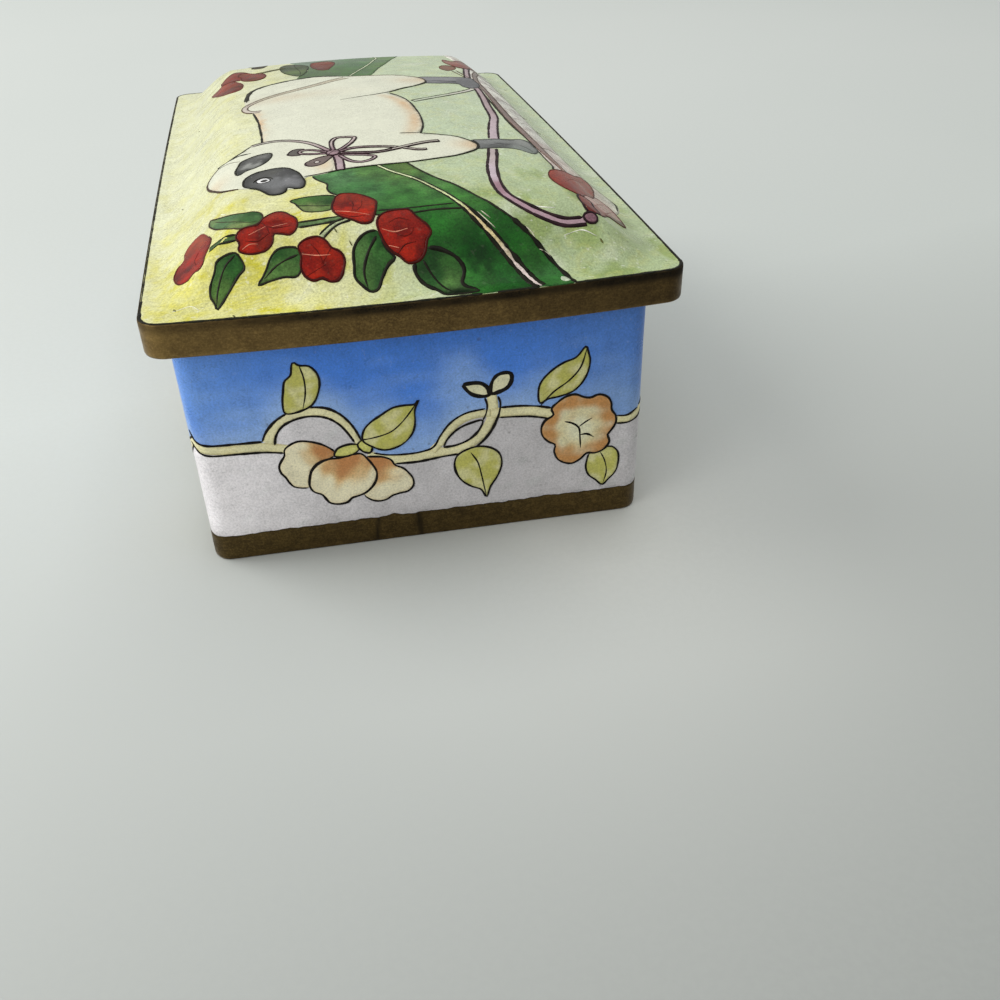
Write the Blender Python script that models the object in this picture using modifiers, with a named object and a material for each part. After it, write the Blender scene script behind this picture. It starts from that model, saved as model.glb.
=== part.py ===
"""Rectangular enamelled brass box with a loose, domed lift-off lid.

The box stands on a brass foot strip. A brass tray makes its floor and four
walls, and a coat of enamel fills the band between the foot strip and the mouth.
The lid is a brass tray too: a domed panel with a turned-down edge and a narrow
lip that holds the enamel coat of its top. It lies on the box a little askew.

Frame: metres, +Z up, +Y along the long side, origin on the table under the
middle of the lid. Sizes below are in millimetres.
"""

import bpy
import bmesh
from math import cos, hypot, pi, radians, sin
from mathutils import Vector

MM = 0.001

# ---- lid -------------------------------------------------------------------
LID_W = 80.0          # across the short sides, at the corners
LID_D = 136.0         # along the long sides, at the corners
LID_BOW_X = 0.45      # the long sides bow out this much at their middle
LID_BOW_Y = 1.7       # and the short sides this much
LID_TURN = 1.5        # degrees that the loose lid lies turned on the box
LID_CORNER = 3.2      # plan radius of the lid's corners
RIM_H = 5.25          # height of the turned-down edge
RIM_T = 0.7           # its thickness
LIP_W = 0.4           # bare brass lip round the enamel
LID_SHEET = 1.0       # thickness of the domed panel
LID_COAT = 0.7        # thickness of the lid's enamel
MARGIN = 2.0          # flat border before the dome starts
SHOULDER_W = 14.0     # width of the dome's rounded shoulder
SHOULDER_H = 7.0      # its rise
SHOULDER_R = 8.0      # plan radius of the dome's corners
CROWN_H = 4.0         # further rise of the shallow crown

# ---- body ------------------------------------------------------------------
OVERHANG = 3.5        # the lid stands out this much past the body
BODY_X = LID_W / 2 - OVERHANG
BODY_Y = LID_D / 2 - OVERHANG
BODY_CORNER = 3.2
BODY_SHIFT = (0.8, 0.45)  # the box stands off the middle of its lid
BODY_SEEN = 39.85     # table to the underside of the lid's edge
FOOT_H = 4.7          # brass foot strip
COAT = 1.1            # thickness of the body's enamel and of the foot strip
WALL = 1.0            # brass wall and floor
FLOOR_Z = 0.8         # the floor's underside stands clear of the table
GAP = 0.3             # clearance between neighbouring pieces

RIM_TOP = BODY_SEEN + RIM_H
MOUTH_Z = RIM_TOP - (LID_COAT + GAP) - LID_SHEET - GAP
ENAMEL_TOP = MOUTH_Z - 0.6


def clamp01(t):
    return max(0.0, min(1.0, t))


def dome(x, y):
    """Rise of the lid's surface above its flat border at plan point x, y."""
    qx = abs(x) - (LID_W / 2 - MARGIN) + SHOULDER_R
    qy = abs(y) - (LID_D / 2 - MARGIN) + SHOULDER_R
    outside = hypot(max(qx, 0.0), max(qy, 0.0))
    inset = SHOULDER_R - outside - min(max(qx, qy), 0.0)
    s = clamp01(inset / SHOULDER_W)
    crown = clamp01(1 - (x / (LID_W / 2 - MARGIN)) ** 2) * clamp01(
        1 - (y / (LID_D / 2 - MARGIN)) ** 2
    )
    return SHOULDER_H * s * s * (3 - 2 * s) + CROWN_H * crown


def bowed(x, y):
    """The lid's sides are not quite straight in plan."""
    bx = 1 + LID_BOW_X / (LID_W / 2) * (1 - (y / (LID_D / 2)) ** 2)
    by = 1 + LID_BOW_Y / (LID_D / 2) * (1 - (x / (LID_W / 2)) ** 2)
    return x * bx, y * by


def rounded_rectangle(hx, hy, r, n_arc, n_x, n_y):
    """Plan points of a rounded rectangle, anticlockwise, with even steps on each part."""
    points = []
    corners = ((1, 1, 0.0), (-1, 1, pi / 2), (-1, -1, pi), (1, -1, 1.5 * pi))
    for k, (sx, sy, start) in enumerate(corners):
        cx, cy = sx * (hx - r), sy * (hy - r)
        for i in range(n_arc + 1):
            a = start + pi / 2 * i / n_arc
            points.append((cx + r * cos(a), cy + r * sin(a)))
        # straight run to the next corner, without its ends
        nx, ny, nstart = corners[(k + 1) % 4]
        ex, ey = nx * (hx - r) + r * cos(nstart), ny * (hy - r) + r * sin(nstart)
        x0, y0 = points[-1]
        n = n_x if k % 2 == 0 else n_y
        for i in range(1, n):
            t = i / n
            points.append((x0 + (ex - x0) * t, y0 + (ey - y0) * t))
    return points


def new_object(name, bm, material):
    mesh = bpy.data.meshes.new(name)
    bmesh.ops.recalc_face_normals(bm, faces=bm.faces)
    bm.to_mesh(mesh)
    bm.free()
    obj = bpy.data.objects.new(name, mesh)
    mesh.materials.append(material)
    parts.objects.link(obj)
    mesh.shade_smooth()
    mesh.set_sharp_from_angle(angle=0.6)
    return obj


def loft(name, loops, material):
    """A closed solid through a run of loops with equal counts of points.

    The first and last loops are squeezed to the lid's ridge line, where they close.
    """
    bm = bmesh.new()
    rows = [[bm.verts.new(Vector(p) * MM) for p in loop] for loop in loops]
    for a, b in zip(rows, rows[1:]):
        n = len(a)
        for i in range(n):
            j = (i + 1) % n
            bm.faces.new((a[i], a[j], b[j], b[i]))
    bmesh.ops.remove_doubles(bm, verts=bm.verts, dist=2e-6)
    bmesh.ops.dissolve_degenerate(bm, dist=2e-6, edges=bm.edges)
    return new_object(name, bm, material)


def brass(name, colour, roughness):
    m = bpy.data.materials.new(name)
    m.use_nodes = True
    shader = m.node_tree.nodes["Principled BSDF"]
    shader.inputs["Base Color"].default_value = (*colour, 1)
    shader.inputs["Metallic"].default_value = 1.0
    shader.inputs["Roughness"].default_value = roughness
    return m


def enamel(name, colour, roughness):
    m = bpy.data.materials.new(name)
    m.use_nodes = True
    shader = m.node_tree.nodes["Principled BSDF"]
    shader.inputs["Base Color"].default_value = (*colour, 1)
    shader.inputs["Metallic"].default_value = 0.0
    shader.inputs["Roughness"].default_value = roughness
    return m


# ---- scene -----------------------------------------------------------------
for old in list(bpy.data.objects):
    bpy.data.objects.remove(old)
parts = bpy.data.collections.new("enamel_box")
bpy.context.scene.collection.children.link(parts)

lid_brass = brass("lid_brass", (0.30, 0.20, 0.08), 0.40)
box_brass = brass("box_brass", (0.34, 0.24, 0.11), 0.38)
foot_brass = brass("foot_brass", (0.22, 0.16, 0.07), 0.42)
lid_colour = enamel("lid_enamel", (0.78, 0.80, 0.50), 0.22)
body_colour = enamel("body_enamel", (0.18, 0.34, 0.72), 0.24)

# ---- lid: brass tray and enamel coat ----------------------------------------
# The plan contour changes all the way up the dome, from a bowed rectangle to a
# short ridge line, so both pieces are lofted through plan loops.
N_ARC, N_X, N_Y = 3, 4, 8
DOME_STEPS = (2.0, 3.6, 5.6, 7.8, 10.2, 12.8, 16.0, 22.0, 29.0, 40.0)


def lid_loop(inset, z=None, under=0.0):
    """A loop round the lid, inset from its edge, at height z or on the dome."""
    hx, hy = LID_W / 2 - inset, LID_D / 2 - inset
    if inset <= MARGIN:
        r = max(LID_CORNER - inset, 1.2)
    else:
        grown = 1.2 + (SHOULDER_R - 1.2) * clamp01((inset - MARGIN) / 6.0)
        r = min(grown, 0.7 * hx)
    turn = radians(LID_TURN)
    loop = []
    for x, y in rounded_rectangle(hx, hy, r, N_ARC, N_X, N_Y):
        height = RIM_TOP + dome(x, y) - under if z is None else z
        bx, by = bowed(x, y)
        tx, ty = bx * cos(turn) - by * sin(turn), bx * sin(turn) + by * cos(turn)
        loop.append((tx, ty, height))
    return loop


under_coat = LID_COAT + GAP
under_sheet = under_coat + LID_SHEET
tray = [lid_loop(s, under=under_coat) for s in reversed(DOME_STEPS)]
tray += [
    lid_loop(LIP_W, RIM_TOP - under_coat),
    lid_loop(LIP_W, RIM_TOP - 0.05),
    lid_loop(0.28, RIM_TOP),
    lid_loop(0.10, RIM_TOP - 0.10),
    lid_loop(0.0, RIM_TOP - 0.40),
    lid_loop(0.0, BODY_SEEN + 0.30),
    lid_loop(0.25, BODY_SEEN),
    lid_loop(RIM_T - 0.15, BODY_SEEN),
    lid_loop(RIM_T, BODY_SEEN + 0.2),
    lid_loop(RIM_T, RIM_TOP - under_sheet),
]
tray += [lid_loop(s, under=under_sheet) for s in DOME_STEPS]
loft("lid_shell", tray, lid_brass)

edge = LIP_W + GAP
coat = [lid_loop(s) for s in reversed(DOME_STEPS)]
coat += [
    lid_loop(edge + 0.3, RIM_TOP),
    lid_loop(edge, RIM_TOP - 0.25),
    lid_loop(edge, RIM_TOP - LID_COAT),
]
coat += [lid_loop(s, under=LID_COAT) for s in DOME_STEPS]
loft("lid_enamel", coat, lid_colour)


# ---- body: brass tray, enamel coat and foot strip ------------------------------
def walled_box(name, inset, z0, z1, thickness, edge_radius, floor, material):
    """A rounded rectangular wall, with or without a floor, thickened inwards."""
    bm = bmesh.new()
    bmesh.ops.create_cube(bm, size=1.0)
    size = Vector((2 * (BODY_X - inset), 2 * (BODY_Y - inset), z1 - z0)) * MM
    bmesh.ops.scale(bm, vec=size, verts=bm.verts)
    middle = Vector((*BODY_SHIFT, (z0 + z1) / 2)) * MM
    bmesh.ops.translate(bm, vec=middle, verts=bm.verts)
    upright = [e for e in bm.edges if abs(e.verts[0].co.z - e.verts[1].co.z) > MM]
    bmesh.ops.bevel(
        bm,
        geom=upright,
        offset=max(BODY_CORNER - inset, 1.4) * MM,
        offset_type="OFFSET",
        segments=5,
        profile=0.5,
        affect="EDGES",
    )
    open_faces = [f for f in bm.faces if f.normal.z > 0.9]
    if not floor:
        open_faces += [f for f in bm.faces if f.normal.z < -0.9]
    bmesh.ops.delete(bm, geom=open_faces, context="FACES_ONLY")
    obj = new_object(name, bm, material)
    shell = obj.modifiers.new("thickness", "SOLIDIFY")
    shell.thickness = thickness * MM
    shell.offset = -1.0
    shell.use_even_offset = True
    rounding = obj.modifiers.new("edges", "BEVEL")
    rounding.width = edge_radius * MM
    rounding.segments = 2
    rounding.limit_method = "ANGLE"
    rounding.angle_limit = 1.0
    return obj


walled_box("box_shell", COAT + GAP, FLOOR_Z, MOUTH_Z, WALL, 0.25, True, box_brass)
walled_box(
    "body_enamel", 0.0, FOOT_H + GAP, ENAMEL_TOP, COAT, 0.18, False, body_colour
)
walled_box("foot_band", 0.05, 0.0, FOOT_H, COAT - 0.05, 0.15, False, foot_brass)
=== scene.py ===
import math
from math import cos, exp, pi, radians, sin

import bpy
import numpy as np
from mathutils import Matrix, Vector
from mathutils.geometry import delaunay_2d_cdt


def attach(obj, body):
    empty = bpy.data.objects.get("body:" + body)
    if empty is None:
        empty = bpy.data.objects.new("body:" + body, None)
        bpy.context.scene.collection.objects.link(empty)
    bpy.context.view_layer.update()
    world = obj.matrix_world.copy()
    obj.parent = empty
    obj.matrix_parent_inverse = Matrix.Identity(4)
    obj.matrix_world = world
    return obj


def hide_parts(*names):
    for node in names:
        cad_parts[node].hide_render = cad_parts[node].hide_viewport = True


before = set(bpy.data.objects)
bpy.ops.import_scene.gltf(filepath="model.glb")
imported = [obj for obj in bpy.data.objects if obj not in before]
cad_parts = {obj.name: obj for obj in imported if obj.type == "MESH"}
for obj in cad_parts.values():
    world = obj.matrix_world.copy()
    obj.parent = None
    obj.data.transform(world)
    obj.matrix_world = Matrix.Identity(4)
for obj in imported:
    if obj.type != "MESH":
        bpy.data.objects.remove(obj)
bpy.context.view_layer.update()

MM = 0.001

# ---------------------------------------------------------------- sizes (mm)
LID_W, LID_D = 80.0, 136.0
LID_BOW_X, LID_BOW_Y = 0.45, 1.7
LID_TURN = radians(1.5)
LID_CORNER = 3.2
RIM_H, RIM_T = 5.25, 0.7
BODY_SEEN = 39.85
RIM_TOP = BODY_SEEN + RIM_H
LIP_W = 0.4
MARGIN = 2.0
SHOULDER_W, SHOULDER_H, SHOULDER_R, CROWN_H = 14.0, 7.0, 8.0, 4.0
BODY_X, BODY_Y, BODY_CORNER = 36.5, 64.5, 3.2
BODY_SHIFT = (0.8, 0.45)
FOOT_H = 4.7
ENAMEL_TOP = 42.2

rng = np.random.default_rng(7)


def lin(r, g, b):
    """Linear colour from a screen colour, 0 to 255."""
    out = []
    for c in (r, g, b):
        c = c / 255.0
        out.append(c / 12.92 if c <= 0.04045 else ((c + 0.055) / 1.055) ** 2.4)
    return np.array(out)


def smoothstep(a, b, x):
    t = np.clip((np.asarray(x, float) - a) / (b - a), 0, 1)
    return t * t * (3 - 2 * t)


def wave(x, y, seed, scale):
    """Smooth, repeatable unevenness in about -1..1, one octave."""
    r = np.random.default_rng(seed)
    out = 0.0
    for _ in range(7):
        a = r.uniform(0, 2 * pi)
        k = 2 * pi / (scale * r.uniform(0.7, 1.6))
        out = out + np.sin(k * (x * cos(a) + y * sin(a)) + r.uniform(0, 2 * pi))
    return out / 3.5


# ------------------------------------------------------------ the two surfaces
def dome(x, y):
    qx = np.abs(x) - (LID_W / 2 - MARGIN) + SHOULDER_R
    qy = np.abs(y) - (LID_D / 2 - MARGIN) + SHOULDER_R
    outside = np.hypot(np.maximum(qx, 0), np.maximum(qy, 0))
    inset = SHOULDER_R - outside - np.minimum(np.maximum(qx, qy), 0)
    s = np.clip(inset / SHOULDER_W, 0, 1)
    crown = np.clip(1 - (x / (LID_W / 2 - MARGIN)) ** 2, 0, 1) * np.clip(
        1 - (y / (LID_D / 2 - MARGIN)) ** 2, 0, 1
    )
    return SHOULDER_H * s * s * (3 - 2 * s) + CROWN_H * crown


def bowed(x, y):
    bx = 1 + LID_BOW_X / (LID_W / 2) * (1 - (y / (LID_D / 2)) ** 2)
    by = 1 + LID_BOW_Y / (LID_D / 2) * (1 - (x / (LID_W / 2)) ** 2)
    return x * bx, y * by


def turned(X, Y):
    """The lid's own plan coordinates as it lies, slightly askew, on the box."""
    return X * cos(LID_TURN) - Y * sin(LID_TURN), X * sin(LID_TURN) + Y * cos(LID_TURN)


def lid_height(X, Y):
    """Height of the lid's enamel over the lid's own plan point X, Y."""
    y = Y / (1 + LID_BOW_Y / (LID_D / 2) * (1 - (X / (LID_W / 2)) ** 2))
    x = X / (1 + LID_BOW_X / (LID_W / 2) * (1 - (Y / (LID_D / 2)) ** 2))
    rise = dome(x, y)
    return RIM_TOP + rise - 0.04 - 0.02 * rise


def on_lid(u, v, h):
    """Points h above the lid's surface, from a drawing sheet laid over it.

    The sheet is 560 x 952 units, 7 to the millimetre, with its left edge on
    the lid's left side and its lower edge on the lid's front.
    """
    X = np.asarray(u, float) / 7.0 - 40.0
    Y = 68.0 - np.asarray(v, float) / 7.0
    Z = lid_height(X, Y)
    e = 0.05
    gx = (lid_height(X + e, Y) - lid_height(X - e, Y)) / (2 * e)
    gy = (lid_height(X, Y + e) - lid_height(X, Y - e)) / (2 * e)
    n = np.stack([-gx, -gy, np.ones_like(gx)], -1)
    n /= np.linalg.norm(n, axis=-1, keepdims=True)
    q = np.stack([X, Y, Z], -1) + n * np.asarray(h, float)[..., None]
    q[..., 0], q[..., 1] = turned(q[..., 0], q[..., 1])
    return q


R = BODY_CORNER
SX, SY, ARC = 2 * (BODY_X - R), 2 * (BODY_Y - R), pi / 2 * R
GIRTH = 2 * SX + 2 * SY + 4 * ARC


def around(s):
    """Plan point and outward normal at distance s along the walls.

    s is 0 at the middle of the front and grows to the right.
    """
    s = np.mod(np.asarray(s, float) + SX / 2, GIRTH)
    x = np.zeros_like(s)
    y = np.zeros_like(s)
    nx = np.zeros_like(s)
    ny = np.zeros_like(s)
    start = 0.0
    # start corner, direction, and outward normal of the four straight sides
    sides = (
        ((-SX / 2, -BODY_Y), (1, 0), (0, -1), SX),
        ((BODY_X, -SY / 2), (0, 1), (1, 0), SY),
        ((SX / 2, BODY_Y), (-1, 0), (0, 1), SX),
        ((-BODY_X, SY / 2), (0, -1), (-1, 0), SY),
    )
    for k, (p, d, n, length) in enumerate(sides):
        m = (s >= start) & (s <= start + length)
        t = s - start
        x = np.where(m, p[0] + d[0] * t, x)
        y = np.where(m, p[1] + d[1] * t, y)
        nx = np.where(m, n[0], nx)
        ny = np.where(m, n[1], ny)
        start += length
        m = (s > start) & (s < start + ARC)
        cx = p[0] + d[0] * length - n[0] * R
        cy = p[1] + d[1] * length - n[1] * R
        a = math.atan2(n[1], n[0]) + (s - start) / R
        x = np.where(m, cx + R * np.cos(a), x)
        y = np.where(m, cy + R * np.sin(a), y)
        nx = np.where(m, np.cos(a), nx)
        ny = np.where(m, np.sin(a), ny)
        start += ARC
    return x + BODY_SHIFT[0], y + BODY_SHIFT[1], nx, ny


def wall_wave(s, z):
    """The enamelled sheet is hand-beaten: its walls are not quite flat."""
    a = 2 * pi * s / GIRTH
    return 0.05 * np.sin(3 * a + 0.6) * np.sin(z / 9.0) + 0.03 * np.sin(11 * a + z / 7.0) - 0.08


def on_wall(u, v, h):
    """Points h outside the walls: u along them, v up, both in millimetres."""
    u = np.asarray(u, float)
    v = np.asarray(v, float)
    x, y, nx, ny = around(u)
    d = np.asarray(h, float) + wall_wave(u, v)
    return np.stack([x + nx * d, y + ny * d, v + 0 * x], -1)


# ----------------------------------------------------------------- mesh making
made = {}


def to_object(name, verts, faces, tint=None, material=None, smooth=True):
    """verts in mm. tint is one linear colour a vertex."""
    mesh = bpy.data.meshes.new(name)
    verts = np.asarray(verts, float) * MM
    mesh.from_pydata(verts.tolist(), [], faces)
    if tint is not None:
        layer = mesh.color_attributes.new("tint", "FLOAT_COLOR", "POINT")
        tint = np.asarray(tint, float)
        if tint.shape[1] == 3:
            tint = np.concatenate([tint, np.ones((len(tint), 1))], 1)
        layer.data.foreach_set("color", tint.astype(np.float32).ravel())
    mesh.validate()
    mesh.update()
    if smooth:
        mesh.shade_smooth()
    obj = bpy.data.objects.new(name, mesh)
    bpy.context.scene.collection.objects.link(obj)
    if material is not None:
        mesh.materials.append(material)
    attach(obj, "root")
    made[name] = obj
    return obj


class Gather:
    """Collects closed scraps of mesh that share a material into one piece."""

    def __init__(self):
        self.v, self.f, self.c, self.n = [], [], [], 0

    def add(self, verts, faces, tint):
        verts = np.asarray(verts, float).reshape(-1, 3)
        tint = np.broadcast_to(np.asarray(tint, float), (len(verts), np.shape(tint)[-1]))
        self.v.append(verts)
        self.c.append(tint)
        self.f.extend([tuple(i + self.n for i in f) for f in faces])
        self.n += len(verts)

    def object(self, name, material, slot, sharp=None):
        obj = to_object(
            name, np.concatenate(self.v), self.f, np.concatenate(self.c), material, True
        )
        if sharp:
            obj.data.set_sharp_from_angle(angle=sharp)
        return obj


def spline(points, closed=False, step=2.0):
    """Even points on a smooth curve through the given ones."""
    p = np.asarray(points, float)
    n = len(p)
    if closed:
        q = np.concatenate([p[-1:], p, p[:2]])
        spans = n
    else:
        q = np.concatenate([2 * p[:1] - p[1:2], p, 2 * p[-1:] - p[-2:-1]])
        spans = n - 1
    out = []
    for i in range(spans):
        a, b, c, d = q[i], q[i + 1], q[i + 2], q[i + 3]
        ta = 0.0
        tb = ta + max(np.linalg.norm(b - a) ** 0.5, 1e-6)
        tc = tb + max(np.linalg.norm(c - b) ** 0.5, 1e-6)
        td = tc + max(np.linalg.norm(d - c) ** 0.5, 1e-6)
        m = max(4, int(np.linalg.norm(c - b) / step * 3))
        t = tb + (tc - tb) * np.arange(m)[:, None] / m
        a1 = (tb - t) / (tb - ta) * a + (t - ta) / (tb - ta) * b
        a2 = (tc - t) / (tc - tb) * b + (t - tb) / (tc - tb) * c
        a3 = (td - t) / (td - tc) * c + (t - tc) / (td - tc) * d
        b1 = (tc - t) / (tc - ta) * a1 + (t - ta) / (tc - ta) * a2
        b2 = (td - t) / (td - tb) * a2 + (t - tb) / (td - tb) * a3
        out.append((tc - t) / (tc - tb) * b1 + (t - tb) / (tc - tb) * b2)
    out = np.concatenate(out)
    if closed:
        out = np.concatenate([out, out[:1]])
    else:
        out = np.concatenate([out, p[-1:]])
    return resample(out, step, closed)


def resample(path, step, closed=False):
    seg = np.linalg.norm(np.diff(path, axis=0), axis=1)
    cum = np.concatenate([[0], np.cumsum(seg)])
    total = cum[-1]
    n = max(3, int(round(total / step)))
    at = np.linspace(0, total, n + 1)
    if closed:
        at = at[:-1]
    return np.stack([np.interp(at, cum, path[:, 0]), np.interp(at, cum, path[:, 1])], 1)


def inside(points, poly):
    x, y = points[:, 0], points[:, 1]
    res = np.zeros(len(points), bool)
    j = len(poly) - 1
    for i in range(len(poly)):
        xi, yi = poly[i]
        xj, yj = poly[j]
        if yi != yj:
            m = ((yi > y) != (yj > y)) & (x < (xj - xi) * (y - yi) / (yj - yi) + xi)
            res ^= m
        j = i
    return res


def edge_distance(points, poly):
    d = np.full(len(points), 1e9)
    for k in range(0, len(points), 2000):
        chunk = points[k : k + 2000]
        d[k : k + 2000] = np.sqrt(
            ((chunk[:, None, :] - poly[None, :, :]) ** 2).sum(-1)
        ).min(1)
    return d


def patch(gather, surface, poly, unit, colour, lift=0.05, grid=0.8, keep=0.0):
    """A thin closed field of enamel on a surface, bounded by a closed outline.

    unit is sheet units to the millimetre. colour(points_mm, edge_mm) gives
    linear colours. The field's rim is sunk into the ground below it.
    """
    poly = np.asarray(poly, float)
    area = 0.5 * np.sum(
        poly[:, 0] * np.roll(poly[:, 1], -1) - np.roll(poly[:, 0], -1) * poly[:, 1]
    )
    if area < 0:
        poly = poly[::-1]
    g = grid * unit
    lo, hi = poly.min(0), poly.max(0)
    xs = np.arange(lo[0] + g / 2, hi[0], g)
    ys = np.arange(lo[1] + g / 2, hi[1], g)
    pts = np.array([(x + (g / 2 if k % 2 else 0), y) for k, y in enumerate(ys) for x in xs])
    if len(pts):
        pts = pts[inside(pts, poly)]
    if len(pts):
        pts = pts[edge_distance(pts, poly) > 0.4 * g]
    n = len(poly)
    allp = np.concatenate([poly, pts]) if len(pts) else poly
    res = delaunay_2d_cdt(
        [Vector(p) for p in allp.tolist()], [], [list(range(n))], 1, 1e-4 * unit
    )
    v2 = np.array([tuple(p) for p in res[0]])
    faces = [list(f) for f in res[2]]
    d = edge_distance(v2, poly) / unit
    uv = v2
    top = surface(uv[:, 0], uv[:, 1], lift * (0.75 + 0.25 * smoothstep(0.0, 0.3, d)) + keep)
    low = surface(uv[:, 0], uv[:, 1], np.full(len(uv), -0.12))
    # every face turned to look out
    a, b, c = (top[[f[i] for f in faces]] for i in (0, 1, 2))
    nrm = np.cross(b - a, c - a)
    out = top - low
    flip = (nrm * out[[f[0] for f in faces]]).sum(1) < 0
    faces = [f[::-1] if w else f for f, w in zip(faces, flip)]
    m = len(uv)
    count = {}
    for f in faces:
        for i in range(len(f)):
            e = (f[i], f[(i + 1) % len(f)])
            count[e] = 1
    skirt = [
        (e[1], e[0], e[0] + m, e[1] + m) for e in count if (e[1], e[0]) not in count
    ]
    all_faces = faces + [tuple(i + m for i in reversed(f)) for f in faces] + skirt
    tint = colour(v2 / unit, d)
    gather.add(np.concatenate([top, low]), all_faces, np.concatenate([tint, tint]))


def ribbon(gather, surface, path, unit, width, tint, height=0.09, base=-0.05, wobble=0.12, seed=0, closed=False, taper=(0.6, 0.6), breaks=0.0):
    """A raised drawn line of uneven width, closed underneath."""
    path = np.asarray(path, float)
    n = len(path)
    if n < 3:
        return
    if closed:
        t = np.roll(path, -1, 0) - np.roll(path, 1, 0)
    else:
        t = np.gradient(path, axis=0)
    t /= np.maximum(np.linalg.norm(t, axis=1, keepdims=True), 1e-9)
    side = np.stack([-t[:, 1], t[:, 0]], 1)
    length = np.concatenate([[0], np.cumsum(np.linalg.norm(np.diff(path, axis=0), axis=1))]) / unit
    w = np.full(n, width, float)
    w *= 1 + wobble * 1.6 * wave(length, 0 * length + seed * 3.1, 11 + seed, 3.5)
    w *= 1 + wobble * wave(length, 0 * length + seed * 1.7, 29 + seed, 1.1)
    if not closed:
        total = length[-1]
        if taper[0]:
            w *= 0.25 + 0.75 * smoothstep(0, taper[0] * 2.2, length)
        if taper[1]:
            w *= 0.25 + 0.75 * smoothstep(0, taper[1] * 2.2, total - length)
    w = np.clip(w, 0.08, None) * unit / 2
    rows = []
    for k, hgt in ((-1.0, base), (-0.93, height * 0.8), (0.0, height), (0.93, height * 0.8), (1.0, base)):
        q = path + side * (w * k)[:, None]
        rows.append(surface(q[:, 0], q[:, 1], np.full(n, hgt)))
    v = np.stack(rows, 1).reshape(-1, 3)
    faces = []
    rings = n if closed else n - 1
    for i in range(rings):
        j = (i + 1) % n
        for k in range(5):
            l = (k + 1) % 5
            faces.append((i * 5 + k, i * 5 + l, j * 5 + l, j * 5 + k))
    if not closed:
        faces.append((4, 3, 2, 1, 0))
        faces.append(tuple((n - 1) * 5 + k for k in range(5)))
    # turn outwards
    a, b, c = v[0], v[1], v[5 + 1]
    nr = np.cross(b - a, c - a)
    up = v[2] - (v[0] + v[4]) / 2
    mid = (v[0] + v[1] + v[6]) / 3 - (v[0:5].mean(0) + v[5:10].mean(0)) / 2
    if np.dot(nr, mid) < 0:
        faces = [f[::-1] for f in faces]
    shade = 1 + 0.35 * wave(length, 0 * length + seed, 5 + seed, 2.3)
    col = np.repeat(np.asarray(tint)[None, :] * np.clip(shade, 0.4, 1.8)[:, None], 5, 0)
    gather.add(v, faces, col)


# ------------------------------------------------------------------- materials
def nodes_of(name):
    m = bpy.data.materials.new(name)
    m.use_nodes = True
    t = m.node_tree
    bsdf = t.nodes["Principled BSDF"]
    return m, t, bsdf


def node(t, kind, **sets):
    n = t.nodes.new(kind)
    for k, v in sets.items():
        setattr(n, k, v)
    return n


def noise_tex(t, vec, scale, detail=3.0, rough=0.55, distortion=0.0):
    n = node(t, "ShaderNodeTexNoise")
    n.inputs["Scale"].default_value = scale
    n.inputs["Detail"].default_value = detail
    n.inputs["Roughness"].default_value = rough
    n.inputs["Distortion"].default_value = distortion
    t.links.new(vec, n.inputs["Vector"])
    return n.outputs["Fac"]


def remap(t, val, a, b, c, d):
    n = node(t, "ShaderNodeMapRange", clamp=True)
    t.links.new(val, n.inputs["Value"])
    for k, x in zip(("From Min", "From Max", "To Min", "To Max"), (a, b, c, d)):
        n.inputs[k].default_value = x
    return n.outputs["Result"]


def math_node(t, op, a, b=None):
    n = node(t, "ShaderNodeMath", operation=op)
    for i, x in enumerate((a, b)):
        if x is None:
            continue
        if isinstance(x, (int, float)):
            n.inputs[i].default_value = x
        else:
            t.links.new(x, n.inputs[i])
    return n.outputs[0]


def mix_colour(t, fac, a, b, blend="MIX"):
    n = node(t, "ShaderNodeMix", data_type="RGBA", blend_type=blend)
    if isinstance(fac, (int, float)):
        n.inputs["Factor"].default_value = fac
    else:
        t.links.new(fac, n.inputs["Factor"])
    for key, x in (("A", a), ("B", b)):
        s = [i for i in n.inputs if i.name == key and i.type == "RGBA"][0]
        if isinstance(x, (tuple, list, np.ndarray)):
            s.default_value = (*[float(q) for q in x[:3]], 1.0)
        else:
            t.links.new(x, s)
    return [o for o in n.outputs if o.type == "RGBA"][0]


def tint_node(t):
    a = node(t, "ShaderNodeAttribute", attribute_name="tint")
    return a


def position(t):
    return node(t, "ShaderNodeTexCoord").outputs["Object"]


def bump(t, height, distance, strength, normal=None):
    b = node(t, "ShaderNodeBump")
    b.inputs["Distance"].default_value = distance
    b.inputs["Strength"].default_value = strength
    t.links.new(height, b.inputs["Height"])
    if normal is not None:
        t.links.new(normal, b.inputs["Normal"])
    return b.outputs["Normal"]


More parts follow.
